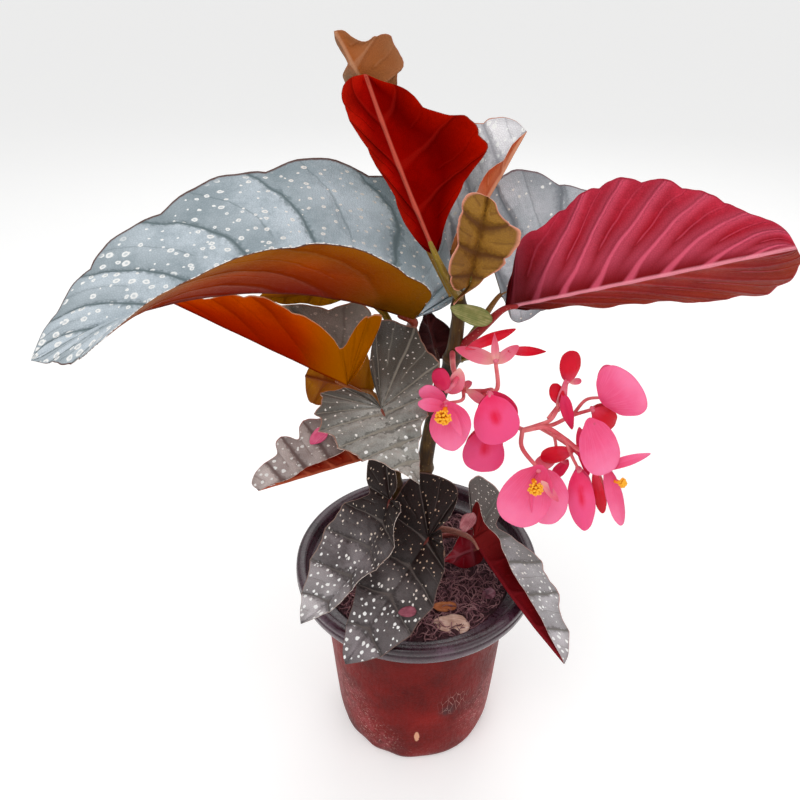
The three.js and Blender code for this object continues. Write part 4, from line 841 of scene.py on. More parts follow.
def leaf_silver(p, f, look, length, teeth):
    """Silver between the veins and darker along them, with painted shade beside the veins, near the stalk
    and on one side of each pleat, and a painted sheen towards the tip.
    """
    p.colour = p.mix(p.step(f.soft + (f.fine - 0.5) * 0.35, 0.32, 0.68), look.top, look.glow)
    # Painted shade near the stalk: the base colour darkens the blade there, fading out along its length
    start, end = look.fade
    away_from_base_shade = p.step(f.x + (f.soft - 0.5) * (0.3 * length), start * length, end * length)
    p.colour = p.mix(away_from_base_shade, look.base, p.colour)
    # Painted sheen: the blade lightens towards its tip
    p.over(p.step(f.x, look.tip_at * length, 1.05 * length, 0.0, 0.8), look.tip)
    # Painted shade: each pleat between two veins darkens towards one side
    p.over(p.step(f.share, 0.08, 0.95) * p.step(f.across, 0.08, 0.5) * look.slant, look.dark)
    # Painted shade: a soft dark band beside each sunken side vein
    band = p.step(f.main + (f.fine - 0.5) * 3.0, 0.4, 0.42 * look.band * f.sector, 1.0, 0.0)
    p.over(band * 0.6, look.dark)
    p.over(p.step(f.across, 0.72, 0.98, 0.0, look.rim_dark), look.dark)
    p.over(p.step(f.net, 0.0, 0.2, 0.2, 0.0), look.dark)
    thin = look.vein_width
    p.over(p.step(f.second, 0.1 * thin, 0.6 * thin, 0.4, 0.0), look.line)
    p.over(p.step(f.main, 0.15 * thin, 0.75 * thin, 0.8, 0.0), look.line)


def leaf_spots(p, f, look, length):
    """Irregular pale spots, larger towards the tip, off the veins and the margin."""
    spacing, radius = look.spots
    wander = p.stretch(p.vector(f.x + f.fine * 2.5, f.y + f.soft * 3.0), 0.82, 1.0, 1.0)
    away = p.cells(wander, 1 / spacing, flat=True, spread=0.95)
    chance = p.parts(p.cells(wander, 1 / spacing, output="Color", flat=True, spread=0.95))
    grown = p.step(f.x, 0.0, 0.9 * length, *SPOT_GROWTH)
    ratio = away / ((chance[0] * 0.95 + 0.4) * (grown * (radius / spacing)))
    spot = p.step(ratio, 0.8, 1.12, 1.0, 0.0) * p.step(chance[1], BARE_SHARE, BARE_SHARE + 0.02)
    spot = spot * p.step(f.main, 0.2, 0.9) * p.step(f.across, 0.93, 0.985, 1.0, 0.0)
    centre = p.step(ratio, 0.25, 0.6, look.hollow, 0.0) * p.step(chance[0], 0.3, 0.5)
    dot = p.mix(p.step(f.x, 0.1 * length, 0.6 * length), look.spot_base, SPOT)
    p.over(spot, p.mix(centre, dot, look.top))
    return spot


def leaf_rim(p, f, look, start):
    """The margin's own colour, on young leaves as a wide fringe too."""
    if look.fringe:
        p.over(p.step(f.across, 1 - look.fringe, 1.0), look.edge)
    p.over(p.step(f.across + f.fine * 0.015, start, 0.998), look.edge)


def leaf_top(name, look, length, teeth):
    p = Paint(name + "_upper", 0.42, Specular_IOR_Level=look.gloss)
    f = leaf_fields(p, length, teeth)
    leaf_silver(p, f, look, length, teeth)
    spot = leaf_spots(p, f, look, length)
    leaf_rim(p, f, look, 0.982)
    quilt = p.step(f.net, 0.0, 0.35) * 0.5 + f.fine * 0.6
    veins = p.step(f.main, 0.0, 2.2) + p.step(f.second, 0.0, 1.6) * 0.5
    normal = p.bump(veins, 0.7, 0.0012, p.bump(quilt, 0.5, 0.0006))
    return p.done(normal, p.step(f.fine + spot * 0.3, 0.2, 0.9, 0.42, 0.58))


def leaf_under(name, look, length, teeth):
    """Red, orange or olive by leaf, with raised veins, a strong rib and painted light and shade on the
    pleats.
    """
    p = Paint(name + "_under", 0.5, Specular_IOR_Level=look.sheen)
    f = leaf_fields(p, length, teeth)
    from_rib = f.across + (f.soft - 0.5) * 0.35
    left, right = (p.ramp(from_rib, side, [0.03, 0.45, 0.97]) for side in (look.left, look.right))
    p.colour = p.mix(p.step(f.y, -0.4, 0.4), right, left)
    p.over(p.step(f.soft + f.fine * 0.3, 0.5, 0.85, 0.0, 0.45), look.shade)
    # Painted highlight: the ridge colour spreads out from each raised vein and fades across the pleat
    glow = p.step(f.main, 0.5, 0.36 * f.sector, look.vein_glow, 0.0) * p.step(f.across, 0.02, 0.3)
    veined = p.step(f.y, -0.4, 0.4, 1.0, look.left_veins)
    p.over(glow * veined, look.ridge)
    # Painted shade: the far side of each pleat darkens
    p.over(p.step(f.share, 0.5, 1.0) * p.step(f.across, 0.1, 0.4) * 0.4, look.shade)
    p.over(p.step(f.net, 0.0, 0.2, 0.16, 0.0), look.shade)
    thin = p.step(f.across, 0.4, 1.0, 1.0, 0.3)
    p.over(p.step(f.second, 0.1, 0.5, look.vein * 0.5, 0.0) * thin, look.ridge)
    p.over(p.step(f.main, 0.2, 0.8, look.vein, 0.0) * (thin * veined), look.ridge)
    p.over(p.step(f.x, 0.02 * length, 0.3 * length, 0.9, 0.0), look.root)
    rib = p.step(p.math("ABSOLUTE", f.y), 0.5, 1.6, 1.0, 0.0) * p.step(f.x, -1.0, 3.0)
    p.over(rib * 0.85, look.rib)
    leaf_rim(p, f, look, 0.985)
    quilt = p.step(f.net, 0.0, 0.3, 0.5, 0.0) + f.fine * 0.5
    veins = p.step(f.main, 0.1, 1.8, 1.0, 0.0) + p.step(f.second, 0.1, 1.3, 0.5, 0.0)
    normal = p.bump(veins, 0.7, 0.0012, p.bump(quilt, 0.4, 0.0005))
    return p.done(normal, p.step(f.fine, 0.2, 0.8, 0.4, 0.58))


def leaf_edge(name, look):
    p = Paint(name + "_edge", 0.55, Specular_IOR_Level=0.2)
    grain = p.noise(p.place(), 0.5, 4.0)
    p.colour = p.mix(p.step(grain, 0.4, 0.65), look.lip, look.edge)
    return p.done(p.bump(grain, 0.4, 0.0003))


def petiole_skin(name, look):
    """A leaf's stalk: colour runs from the cane to the blade, with fine streaks and pale flecks."""
    p = Paint(name + "_stalk", 0.42, Specular_IOR_Level=0.2)
    share, turn = p.value("flat_x"), p.value("phase")
    streak = p.noise(p.vector(share * 6.0, turn * 14.0), 1.0, 4.0)
    p.colour = p.mix(p.step(share + streak * 0.3, 0.25, 1.0), *look.petiole)
    p.over(p.step(streak, 0.45, 0.75, 0.0, 0.5), look.shade)
    flecks = p.cells(p.place(), 0.7)
    p.over(p.step(flecks, 0.1, 0.22, 0.5, 0.0), "#D8B09A")
    return p.done(p.bump(streak + flecks * 0.5, 0.4, 0.0004))


# Leaves
def leaf_piece(name, leaf, look):
    build = Build()
    length = float(np.linalg.norm(np.subtract(leaf.tip, leaf.base)))
    u, s = np.meshgrid(np.linspace(0, 1, leaf.teeth * COLUMNS_PER_TOOTH + 1), ROWS, indexing="ij")
    rims = []
    for under in (False, True):
        for side in (1, -1):
            lift = (-0.5 if under else 0.5) * BLADE * (1 - 0.4 * s)
            points, x, y, veined = leaf_surface(leaf, side, u, s, lift, under, look.ruffle, look.lean)
            values = np.stack([veined, s, x * length, side * y * length], -1)
            build.grid(points, values, int(under), flip=(side > 0) != under, weld=side < 0)
            rims.append((side, points[:, -1], values[:, -1]))
    for (side, top, v), (_, low, _) in zip(rims[:2], rims[2:]):
        build.grid(np.stack([top, low], 1), np.stack([v, v], 1), 2, flip=side > 0)
    leaf_stalk(build, leaf, length)
    skins = [leaf_top(name, look, length, leaf.teeth), leaf_under(name, look, length, leaf.teeth)]
    return build.finish(name + "_piece", *skins, leaf_edge(name, look), petiole_skin(name, look))


def leaf_stalk(build, leaf, length):
    """The stalk runs on under the blade's rib for a few millimetres and thins out there."""
    inside = leaf.spread + (1 - leaf.spread) * (STALK_UNDER_BLADE / length) ** (1 / RIB_POWER)
    on_rib, under_rib = np.array([0.0]), np.array([-0.9])
    ends = [leaf_surface(leaf, 1, np.array([u]), on_rib, under_rib)[0][0].tolist() for u in (0, inside)]
    radii = [leaf.radius * share for share in (1.1, 1, 0.85, 0.45)]
    build.tube(leaf.stalk + ends, radii, 3, sides=12, steps=30)


# Flowers
def tepal_grid(build, t, tone, seed, thick=0.4, crumple=0.35):
    """One tepal, closed, a little wavy at its rim and creased along its middle."""
    root, length, X, Y, Z = axes(t.root, t.apex, t.face)
    rings, angle = np.linspace(0, 1, 9)[:, None], around(44 if t.wide > 11 else 30)[None]
    along = np.cos(angle) * rings
    across = np.sin(angle) * rings * (1 + 0.22 * np.cos(angle))
    across = across * (1 - 0.25 * smoothstep(-0.6, -1, along))
    across = across * (1 - t.point * ((1 + np.cos(angle)) / 2) ** 2)
    wave = np.sin(4 * angle + seed) * rings**3 + 0.5 * np.sin(9 * angle + 2 * seed) * rings**4
    crease = -0.5 * bell(across, 0.25) * (1 - rings**2)
    dish = t.cup * (rings**2 - 1) + crumple * (wave * min(1, t.wide / 14) + crease)
    share = (along + 1) / 2
    values = np.stack([0 * share, rings + 0 * angle, share, across], -1)
    flat = root + X * (share * length)[..., None] + Y * (across * t.wide / 2)[..., None]
    for sign in (1, -1):
        lift = sign * 0.5 * thick * (1 - 0.5 * rings**4)
        points = flat + Z * (dish + lift)[..., None]
        build.grid(points, values, tone, flip=sign < 0, closed=True, weld=sign < 0)


def heart(build, centre, radius, tone):
    """A flower's small fleshy middle, three-sided like its ovary."""
    rows, angle = np.linspace(0, np.pi, 10)[:, None], around(18)[None]
    ring = np.sin(rows) * (1 + 0.12 * np.cos(3 * angle))
    points = np.stack([ring * np.cos(angle), 1.5 * ring * np.sin(angle), np.cos(rows) + 0 * angle], -1)
    values = np.zeros(points.shape[:2] + (4,))
    values[..., 2] = rows / np.pi
    build.grid(np.array(centre, float) + points * radius, values, tone, flip=True, closed=True)


# Each tone: at the root, in the middle, at the rim, and the colour of the spot near the heart
TONES = {
    "pink": ["#E03C6C", "#EE5888", "#F67AA4", "#EC4C7C"],
    "spot": ["#EA2058", "#EE4C80", "#EA4A80", "#E00038"],
    "rose": ["#DC3060", "#D82454", "#C81E50", "#C01048"],
    "red": ["#E04460", "#D80428", "#BC0020", "#C40020"],
    "pale": ["#F0B0A4", "#E87E90", "#DC5070", "#E27084"],
    "ovary": ["#E4708C", "#E06078", "#D84C68", "#E8909C"],
}
TONE_ORDER = list(TONES)
OVARY = TONE_ORDER.index("ovary")


def bloom_piece(name, bloom):
    build = Build()
    for k, (tone, t) in enumerate(bloom.tepals):
        tepal_grid(build, t, TONE_ORDER.index(tone), seed=1.7 * k + len(name))
    for path in bloom.bridges:
        build.tube(path, [1.5, 1.1], OVARY)
    heart(build, bloom.heart, bloom.radius * 0.75, OVARY)
    return build.finish(name + "_piece", *(tepal_skin(tone) for tone in TONES))


@functools.cache
def tepal_skin(tone):
    root, middle, rim, spot = TONES[tone]
    p = Paint("tepal_" + tone, 0.45, Specular_IOR_Level=0.2, Subsurface_Weight=0.15, Subsurface_Scale=0.004)
    ring, along, across = (p.value(label) for label in Build.NAMES[1:])
    here = p.place()
    cloud = p.noise(here, 0.12)
    # Fine veins fan out from the root, so they run along the tepal
    fan = across / (along + 0.25)
    veins = p.noise(p.vector(fan * 22.0, along * 1.2, cloud * 2.0), 1.0)
    p.colour = p.ramp(along + (cloud - 0.5) * 0.5, [root, middle, rim], [0.05, 0.45, 1])
    far = p.join("LENGTH", p.vector((along - 0.42) * 3.4, across * 2.2), output="Value")
    p.over(p.step(far + cloud * 0.5, 0.35, 1.1, 0.9 if tone == "spot" else 0.35, 0.0), spot)
    p.over(p.step(veins, 0.45, 0.75, 0.0, 0.3), rim)
    p.over(p.step(ring, 0.9, 1.0, 0.0, 0.35), middle)
    return p.done(p.bump(p.noise(here, 1.6, 2.0), 0.15, 0.0003, p.bump(veins, 0.25, 0.0004)))


STAMENS = {
    "stamens_left": ([8.5, -76, 310], 3.9, [-0.2, -1, -0.1]),
    "stamens_front": ([54.5, -76, 268.5], 3.8, [0, -1, 0]),
    "stamens_right": ([101, -63, 261], 2.4, [0.8, -0.6, 0.1]),
}
ANTHERS = 46


def stamens_piece(name, at, r, face):
    """A tight cluster of club-shaped anthers on short threads."""
    build = Build()
    rng = np.random.default_rng(29)
    face, at = unit(face), np.array(at, float)
    build.tube([(at - face * r * far).tolist() for far in (1.6, 0.3)], [1.2, 1.0], 0)
    for k in range(ANTHERS):
        y = 1 - 2 * (k + 0.5) / ANTHERS
        ring, turn = math.sqrt(1 - y * y), k * 2.4
        way = np.array([ring * math.cos(turn), y, ring * math.sin(turn)])
        if way.dot(face) < -0.2:
            way = way - 2 * way.dot(face) * face
        reach = r * rng.uniform(0.82, 1.0)
        bent = at + unit(way + 0.25 * rng.normal(size=3)) * reach * 0.6
        path = [(at - face * 0.4 * r).tolist(), bent.tolist(), (at + way * reach).tolist()]
        build.tube(path, [0.2, 0.3, 0.6], 0, sides=7, steps=6)
    p = Paint(name, Specular_IOR_Level=0.25)
    grain = p.noise(p.place(), 2.2)
    tone = p.value("flat_x") + (grain - 0.5) * 0.5
    p.colour = p.ramp(tone, ["#D86004", "#F08408", "#F8A010", "#FCB830"])
    return build.finish(name + "_piece", p.done(p.bump(grain, 0.4, 0.0003)))


# Flower stalks: each branch runs to a flower's heart where one is named
BRANCHES = [
    ([[18, 0, 302], [17, -12, 306], [17, -26, 305], [21, -38, 301], [31, -43, 303]], 1.7, None),
    ([[21, -38, 301], [17, -47, 308]], 1.2, "flower_bud_left"),
    ([[30, -43, 303], [37, -42, 303]], 1.3, "flower_open_upper"),
    ([[30, -43, 303], [34, -46, 306]], 1.1, "flower_disc_upper"),
    ([[21, -38, 301], [19, -54, 305]], 1, "flower_stamens_left"),
    ([[30, -43, 303], [40, -42, 292], [46, -44, 284], [52, -48, 283]], 1.5, None),
    ([[46, -44, 284], [41, -40, 284]], 1, "flower_disc_lower"),
    ([[51, -48, 283], [58, -47, 285], [65, -46, 288]], 1.3, "flower_bud_red"),
    ([[64, -45, 288], [72, -38, 296]], 1, "flower_bud_top"),
    ([[58, -47, 285], [66, -45, 284], [77, -42, 288]], 1.2, "flower_red_right"),
    ([[77, -42, 288], [83, -40, 296]], 1, "flower_right_disc"),
    ([[52, -48, 283], [62, -50, 286], [72, -53, 281], [80, -56, 276]], 1.4, "flower_large_right"),
    ([[72, -53, 281], [76, -55, 272]], 1, "flower_hanging"),
    ([[58, -47, 285], [76, -46, 272]], 1, "flower_slender"),
    ([[62, -50, 286], [68, -46, 278]], 1, "flower_bud_low"),
    ([[51, -48, 283], [50, -55, 278]], 1.3, "flower_front"),
]
STALK_BRACTS = [
    tepal([21, -40, 303], [12, -45, 305], 5, [0, -1, 0.4], 0.6),
    tepal([22, -41, 303], [31, -49, 300], 5, [0.2, -1, 0.4], 0.6),
    tepal([21, -40, 302], [23, -46, 311], 4, [0, -1, 0.2], 0.6),
]


def stalk_piece():
    build = Build()
    for path, radius, flower in BRANCHES:
        ends = [BLOOMS[flower].heart] if flower else []
        build.tube(path + ends, [radius * 0.95, radius * 0.75], 0, sides=12)
    for k, t in enumerate(STALK_BRACTS):
        tepal_grid(build, t, 1, seed=k)
    p = Paint("flower_stalk", 0.4, Specular_IOR_Level=0.25)
    streak = p.noise(p.vector(p.value("phase") * 16.0, p.value("flat_x")), 1.0)
    tone = p.noise(p.place(), 0.09) + (streak - 0.5) * 0.5
    p.colour = p.ramp(tone, ["#B83040", "#D85C64", "#E87C80", "#E08468"], [0.25, 0.45, 0.6, 0.8])
    return build.finish("stalk_left_piece", p.done(p.bump(streak, 0.3, 0.0003)), tepal_skin("pale"))


# Dry scales, stipules and fallen petals: shape, then colours dark, middle and light
SCRAPS = {
    "stipule_upper": (
        tepal([15, -7, 332], [37, -9, 325], 10, [-0.1, -1, 0.3], 1),
        ["#5E6A34", "#8A8C50", "#B4AA78"],
    ),
    "stipule_dry": (
        tepal([5.8, 5.4, 163.5], [17.5, -14.5, 161], 6, [0.5, -0.8, 0.5], 1),
        ["#8A6450", "#B08C74", "#CDB09A"],
    ),
    "stipule_pink": (
        tepal([29, -5.7, 173.9], [35, -7, 191], 9, [-0.2, -1, 0.2], 1.2),
        ["#A04A50", "#D08088", "#E0A8A8"],
    ),
    "bract_dry": (
        tepal([10, -47, 137.4], [32, -51, 137], 13, [0.1, -0.3, 1], 1.6),
        ["#B08070", "#E0B8A4", "#F4DCD0"],
    ),
    "bract_orange": (
        tepal([9, -36, 137.9], [25, -35, 137.7], 7, [0, -0.2, 1], 1.4),
        ["#8A4428", "#C87848", "#E0A078"],
    ),
    "petal_fallen_left": (
        tepal([-66.5, 9.8, 232.4], [-57, 17.8, 238.4], 9, [-0.05, -0.51, 0.84], -0.6),
        ["#E04478", "#F06A94", "#F48CAA"],
    ),
    "petal_fallen_front": (
        tepal([-12.2, -66.3, 168.2], [-1.7, -67.8, 171.6], 6, [-0.2, -0.58, 0.79], -0.6),
        ["#5C2A34", "#8A4454", "#A05C68"],
    ),
}


def scrap_piece(name, t, colours):
    build = Build()
    tepal_grid(build, t, 0, seed=len(name), thick=0.5, crumple=0.5 if "petal" in name else 1.1)
    p = Paint(name, 0.55, Specular_IOR_Level=0.25)
    lines = p.noise(p.vector(p.value("flat_x") * 1.5, p.value("flat_y") * 9.0), 1.0, 4.0)
    cloud = p.noise(p.place(), 0.25)
    p.colour = p.ramp(lines * 0.6 + cloud * 0.5, colours, [0.35, 0.55, 0.75])
    p.over(p.step(p.value("across"), 0.85, 1.0, 0.0, 0.5), colours[0])
    return build.finish(name + "_piece", p.done(p.bump(lines, 0.6, 0.0005)))


# Canes: ringed nodes swell and carry a fine ridge
CANE_STEPS, CANE_SIDES = 160, 28


def cane_piece(name, cane):
    build = Build()
    path = smooth_path(cane.path, CANE_STEPS)
    near = np.min(np.abs(path[:, 2][:, None] - np.array(cane.nodes)), axis=1)
    radius = np.interp(np.linspace(0, 1, CANE_STEPS), np.linspace(0, 1, len(cane.radius)), cane.radius)
    radius = radius + NODE_SWELL * bell(near, 3.5) + 0.35 * bell(near, 0.7)
    radius[-6:] *= np.linspace(1, 0.05, 6)
    side, up = frames_along(path)
    angle = around(CANE_SIDES)
    ring = side[:, None] * np.cos(angle)[:, None] + up[:, None] * np.sin(angle)[:, None]
    height = path[:, 2:3]
    uneven = 1 + 0.025 * np.sin(3 * angle + height * 0.05) + 0.015 * np.sin(5 * angle - height * 0.11)
    values = np.zeros((CANE_STEPS, CANE_SIDES, 4))
    values[..., 1] = near[:, None]
    build.grid(path[:, None] + ring * (radius[:, None] * uneven)[..., None], values, 0, closed=True)
    return build.finish(name + "_piece", cane_skin(name))


def cane_skin(name):
    p = Paint(name, 0.48, Specular_IOR_Level=0.25)
    here, from_node = p.place(), p.value("across")
    streak = p.noise(p.stretch(here, 1.0, 1.0, 0.12), 0.9, 5.0, 0.6)
    tone = p.noise(here, 0.05, 4.0) * 0.7 + streak * 0.4
    p.colour = p.ramp(tone, ["#1A0E04", "#342006", "#4C340C", "#645018"], [0.35, 0.5, 0.62, 0.8])
    p.over(p.step(from_node + streak * 2.5, 1.2, 4.2, 0.9, 0.0), "#5C3C1C")
    p.over(p.step(from_node, 0.2, 1.0, 0.8, 0.0), "#24140A")
    flecks = p.cells(p.stretch(here, 1.0, 1.0, 0.45), 0.5)
    p.over(p.step(flecks, 0.08, 0.2, 0.45, 0.0), "#8C7040")
    return p.done(p.bump(streak + flecks * 0.4, 0.5, 0.0006))


# Pot: a thin moulded shell, red outside, dark inside, with a banded rim and drain holes.
# The rim's profile runs over the edge from outside, as steps in from the rim and down from the top.
RIM = [
    (1.8, 11.2), (0.8, 10.5), (0.4, 9.4), (0, 6), (0.2, 5.2), (0.9, 4.8), (0.9, 4.3), (0.1, 3.6), (0.4, 1.5),
    (1.3, 0.2), (2.6, 0), (5.4, 0.3), (6.4, 1), (7.3, 2.6), (7.7, 4.6), (8.2, 8.6), (9, 9.6), (13, 10.2),
    (15.4, 10.8),
]


def pot_piece():
    h, w, f = POT.height, POT.wall, POT.floor
    wall = smooth_path([[x, 0, z] for x, z in POT.side], 44)[:, [0, 2]]
    outside = [[0, 0.4], [43, 0.4], [45, 0], [50, 0], *wall.tolist(), [66.2, h - 12]]
    rim = [[POT.rim - inward, h - down] for inward, down in RIM]
    inside = [[x - w, z + w] for x, z in wall[::-1].tolist() if z > 6]
    profile = np.array(outside + rim + inside + [[53.2, f + 0.6], [52, f], [0, f]])
    build = Build()
    angle = around(144)
    for first, last, mat in [(0, len(outside), 0), (len(outside) - 1, len(profile), 1)]:
        rr, zz = profile[first:last, 0][:, None], profile[first:last, 1][:, None]
        foot = 0.5 * bell(zz - 3, 4) * np.sin(11 * angle + np.sin(3 * angle) * 2) * (rr > 50) * (mat == 0)
        sag = 0.35 * np.sin(2 * angle + 0.8) * smoothstep(20, 140, zz)
        rr = rr + foot + sag * (rr > 1)
        points = np.stack([rr * np.cos(angle), rr * np.sin(angle), zz + 0 * angle], -1)
        build.grid(points, 0, mat, closed=True, flip=True, weld=mat > 0)
    return drained(build.finish("pot_piece", pot_red(), pot_black()))


def drained(pot):
    """Cuts the drain holes through the pot's floor."""
    holes = []
    ring, radius = DRAIN.ring * MM, DRAIN.radius * MM
    for k in range(DRAIN.count):
        angle = (k + 0.5) / DRAIN.count * 2 * math.pi
        place = [ring * math.cos(angle), ring * math.sin(angle), 0]
        bpy.ops.mesh.primitive_cylinder_add(vertices=36, radius=radius, depth=0.02, location=place)
        holes.append(bpy.context.object)
        cut = pot.modifiers.new("drain", "BOOLEAN")
        cut.object, cut.operation, cut.solver = holes[-1], "DIFFERENCE", "EXACT"
    solid = pot.evaluated_get(bpy.context.evaluated_depsgraph_get())
    cut_mesh = bpy.data.meshes.new_from_object(solid)
    pot.modifiers.clear()
    pot.data = cut_mesh
    for hole in holes:
        bpy.data.objects.remove(hole)
    return pot


def near(p, here, point, reach, soft=0.6):
    """1 at a point of the surface, in mm, falling to 0 at the reach."""
    return p.step(p.join("DISTANCE", here, point, "Value"), reach * (1 - soft), reach, 1.0, 0.0)


# Limescale on the pot, a point in mm and how far it spreads; at the sides its pink haze is painted light too
LIME_AND_SIDE_LIGHT = [((-47, -37, 50), 30.0), ((-28, -50, 24), 24.0), ((50, -32, 40), 36.0), ((30, 48, 40), 50.0)]


def pot_red():
    """Brick-red plastic, chalky with limescale low down and at the sides, with scratches and a dirt patch.
    At the sides its pink haze is painted light as well, and painted shadow darkens it under the rim.
    """
    p = Paint("pot_red", 0.42, Specular_IOR_Level=0.06)
    here = p.place()
    z = p.parts(here)[2]
    wide, grit = p.noise(here, 0.03, 4.0, 0.55), p.noise(here, 0.6, 5.0, 0.65)
    tones = ["#4E0402", "#640602", "#740A06", "#86140E"]
    p.colour = p.ramp(wide * 0.75 + grit * 0.25, tones, [0.34, 0.46, 0.56, 0.7])
    # Painted shadow under the rim: the body darkens towards the top
    p.over(p.step(z, 85.0, 135.0, 0.0, 0.5), "#5C0C06")
    lime_and_side_light = p.step(z, 0.0, 26.0, 0.35, 0.0)
    for point, reach in LIME_AND_SIDE_LIGHT:
        lime_and_side_light = lime_and_side_light + near(p, here, point, reach)
    # Pink haze where limescale sits, which at the sides is painted light as well
    p.over(lime_and_side_light * p.step(p.noise(here, 0.14, 4.0, 0.6), 0.38, 0.7, 0.0, 0.35), "#B04A50")
    specks = p.noise(p.stretch(here, 1.0, 1.0, 1.5), 0.42, 6.0, 0.75)
    mineral = p.step(specks, 0.56, 0.64) * (lime_and_side_light + 0.02)
    p.over(mineral * 0.6, "#DCB0A8")
    scuffs = p.noise(p.stretch(here, 0.9, 0.9, 0.22), 0.7, 5.0, 0.75, 0.5)
    p.over(p.step(scuffs, 0.6, 0.7) * (lime_and_side_light * 0.45 + 0.03), "#F0D4CC")
    pot_marks(p, here, grit)
    normal = p.bump(wide * 1.2 + grit * 0.3, 0.35, 0.0012)
    return p.done(normal, p.step(scuffs + mineral * 0.3, 0.3, 0.8, 0.3, 0.6))


def pot_marks(p, here, grit):
    """A dirt patch with scratches above it, and a pale flake, all at the front."""
    p.over(near(p, here, (21, -56, 59), 9.0, 0.8) * p.step(grit, 0.3, 0.55) * 0.85, "#3E2426")
    rays = p.cells(p.stretch(here, 1.0, 1.0, 0.35), 0.3, "DISTANCE_TO_EDGE")
    scratch = p.step(rays + grit * 0.1, 0.05, 0.09, 1.0, 0.0) * near(p, here, (25, -54, 66), 15.0)
    p.over(scratch * 0.55, "#D0A098")
    from_flake = p.stretch(p.join("ADD", here, (-0.5, 58.5, -33)), 1.0, 1.0, 0.3)
    flake = p.join("LENGTH", from_flake, output="Value")
    p.over(p.step(flake + grit * 1.5, 2.2, 2.8, 1.0, 0.0), "#D69A7C")


def pot_black():
    """Dark purple-grey plastic of the rim and the inside, with pale purple-grey patches, glossy in places."""
    p = Paint("pot_black", 0.3, Coat_Weight=0.3, Coat_Roughness=0.2)
    here = p.place()
    grit = p.noise(here, 0.5, 5.0, 0.65)
    tone = p.noise(here, 0.05, 4.0, 0.6) * 0.7 + grit * 0.3
    p.colour = p.ramp(tone, ["#1E0812", "#361826", "#5A3A4C"], [0.35, 0.5, 0.7])
    p.over(p.step(p.noise(here, 1.1, 4.0, 0.7), 0.66, 0.74) * 0.5, "#8A7078")
    return p.done(p.bump(grit, 0.3, 0.0005), p.step(grit, 0.3, 0.7, 0.2, 0.42))


# Potting mix: a rough bed with loose curled fibres on it
FIBRES = 1700
SOIL_RADIUS = 62.6


def soil_height(x, y):
    waves = 1.1 * np.sin(x * 0.16 + 1.3) * np.cos(y * 0.14 - 0.4) + 0.7 * np.sin(x * 0.41 - y * 0.33)
    lumps = 0.45 * np.sin(x * 1.1 + 2 * np.sin(y * 0.7)) + 0.35 * np.cos(y * 1.3 + x * 0.5)
    return SOIL_LEVEL + waves + lumps


def soil_grid(build, rng):
    """The body of the mix, from its rough top down inside the pot's wall to the floor."""
    angle = around(150)
    rings = np.concatenate([np.linspace(0, SOIL_RADIUS - 1, 46), [SOIL_RADIUS]])[:, None]
    x, y = rings * np.cos(angle), rings * np.sin(angle)
    z = soil_height(x, y) + rng.normal(0, 0.35, x.shape) * (rings > 0)
    z[-1] = SOIL_LEVEL - 1.2
    low = [(r - POT.wall - 0.75, level + POT.wall) for r, level in POT.side[-2:1:-1]]
    low += [(52, POT.floor + 1), (0, POT.floor + 1)]
    side = [np.stack([r * np.cos(angle), r * np.sin(angle), 0 * angle + level], -1) for r, level in low]
    build.grid(np.concatenate([np.stack([x, y, z], -1), np.array(side)]), 0, 0, closed=True)


def soil_fibre(build, rng):
    """One loose fibre, curled, humped in its middle and kept inside the pot."""
    turn, far = rng.uniform(0, TURN), (SOIL_RADIUS - 3) * math.sqrt(rng.uniform(0.0, 1.0))
    at = np.array([far * math.cos(turn), far * math.sin(turn)])
    way, length = rng.uniform(0, TURN), rng.uniform(4, 15)
    steps = np.linspace(-0.5, 0.5, 6)
    heading = way + rng.normal(0, 1.1) * steps * 2 + 0.3 * np.sin(steps * 9 + turn)
    xy = at + np.cumsum(np.stack([np.cos(heading), np.sin(heading)], 1), 0) * length / 6
    inside = np.minimum(1, (SOIL_RADIUS - 1.2) / np.maximum(1, np.hypot(xy[:, 0], xy[:, 1])))
    xy = xy * inside[:, None]
    hump = rng.uniform(0.0, 2.6) * (1 - (2 * steps) ** 2) + rng.uniform(0.1, 0.9)
    thick = rng.uniform(0.14, 0.42)
    path = np.column_stack([xy, soil_height(xy[:, 0], xy[:, 1]) + hump]).tolist()
    build.tube(path, [thick, thick, thick * 0.6], 1, sides=5, steps=8, each=rng.uniform(0, 1))


def soil_piece():
    build = Build()
    rng = np.random.default_rng(71)
    soil_grid(build, rng)
    for _ in range(FIBRES):
        soil_fibre(build, rng)
    root, apex = [42, -26, soil_height(42, -26) + 1.6], [51, -24, soil_height(51, -24) + 3.4]
    petal = tepal(root, apex, 7, [0, -0.5, 1], 1)
    tepal_grid(build, petal, 2, seed=3, crumple=0.8)
    return build.finish("soil_piece", soil_skin(), fibre_skin(), old_petal_skin())


def soil_skin():
    p = Paint("soil_bed", 0.85)
    here = p.place()
    lumps, grain = p.noise(here, 0.35, 5.0, 0.7), p.noise(here, 1.6, 4.0, 0.7)
    p.colour = p.ramp(lumps * 0.6 + grain * 0.4, ["#2A1016", "#4E2A32", "#744850"], [0.35, 0.5, 0.7])
    return p.done(p.bump(lumps + grain, 0.9, 0.0012))


def fibre_skin():
    p = Paint("soil_fibre", 0.7)
    grain = p.noise(p.place(), 1.2)
    tones = ["#56303A", "#80525C", "#A06E74", "#C08E90", "#6E4248"]
    p.colour = p.ramp(p.value("flat_y") * 0.8 + grain * 0.25, tones, [0.05, 0.3, 0.55, 0.8, 1])
    return p.done(p.bump(grain, 0.4, 0.0003))


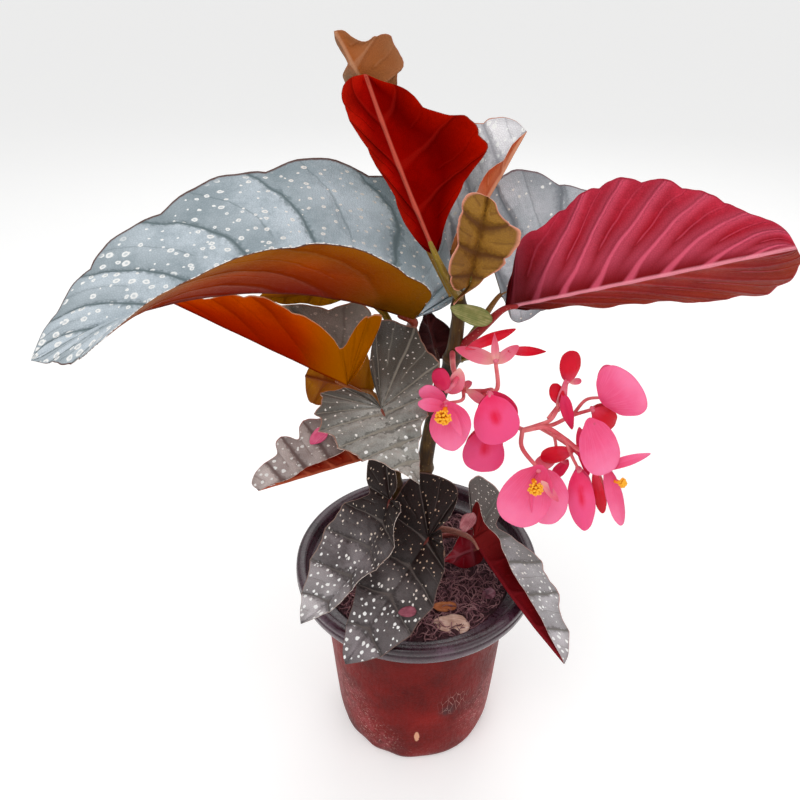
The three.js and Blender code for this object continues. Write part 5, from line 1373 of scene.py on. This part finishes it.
def old_petal_skin():
    p = Paint("tepal_old")
    grain = p.noise(p.place(), 0.5, 4.0)
    p.colour = p.ramp(grain, ["#5A2C3C", "#8A5060", "#A87480"], [0.35, 0.5, 0.7])
    return p.done(p.bump(grain, 0.4, 0.0004))


SLOTS = {
    "leaf_silver": "left_large upper_folded back_silver back_right front_mid lower_left bottom_right",
    "leaf_red": "top_red right_large low_red",
    "leaf_orange": "top_young left_orange left_under",
    "leaf_olive": "left_back young_frilled small_olive",
    "leaf_dark": "small_dark bottom_front bottom_left",
}


def plant():
    keep(pot_piece(), "pot", "pot")
    keep(soil_piece(), "soil", "soil")
    for name, cane in CANES.items():
        keep(cane_piece(name, cane), "cane", name)
    for slot, names in SLOTS.items():
        for name in ("leaf_" + short for short in names.split()):
            keep(leaf_piece(name, LEAVES[name], LOOKS[name]), slot, name)
    for name, made in BLOOMS.items():
        keep(bloom_piece(name, made), "tepal", name)
    for name, place in STAMENS.items():
        keep(stamens_piece(name, *place), "stamen", name)
    keep(stalk_piece(), "flower_stalk", "stalk_left")
    for name, scrap in SCRAPS.items():
        keep(scrap_piece(name, *scrap), "tepal" if "petal" in name else "dry_bract", name)


# Floor, light and camera, in metres
LIGHTS = [
    ("key", (-0.7, -0.8, 1.5), 8),
    ("fill", (0.9, -0.6, 0.9), 3),
    ("back", (0.2, 1.2, 1.3), 5),
]
AIM = Vector((0, 0, 0.25))


def floor():
    bpy.ops.mesh.primitive_plane_add(size=60)
    plane = bpy.context.object
    plane.name = "floor"
    p = Paint("floor", 0.9)
    p.put(p.shader.inputs["Emission Color"], "#FFFFFF")
    p.put(p.shader.inputs["Emission Strength"], 0.2)
    p.colour = p.mix(p.noise(p.place(), 0.02, 2.0), "#F2F2F2", "#F5F5F4")
    plane.data.materials.append(p.done())


def studio(scene):
    scene.world = bpy.data.worlds.new("studio")
    scene.world.use_nodes = True
    light = scene.world.node_tree.nodes["Background"].inputs
    light["Color"].default_value = rgba("#FCFCFC")
    light["Strength"].default_value = 0.72
    for name, place, power in LIGHTS:
        data = bpy.data.lights.new(name, "AREA")
        data.size, data.energy = 1.0, power
        lamp = bpy.data.objects.new(name, data)
        lamp.location = place
        lamp.rotation_euler = (AIM - Vector(place)).to_track_quat("-Z", "Y").to_euler()
        scene.collection.objects.link(lamp)
    camera = bpy.data.cameras.new("camera")
    camera.lens, camera.sensor_width = 30.6, 36
    scene.camera = bpy.data.objects.new("camera", camera)
    scene.camera.location = (-0.011, -0.331, 0.480)
    scene.camera.rotation_euler = (math.radians(57.7), 0, 0)
    scene.collection.objects.link(scene.camera)
    scene.view_settings.view_transform = "Standard"


plant()
floor()
studio(bpy.context.scene)
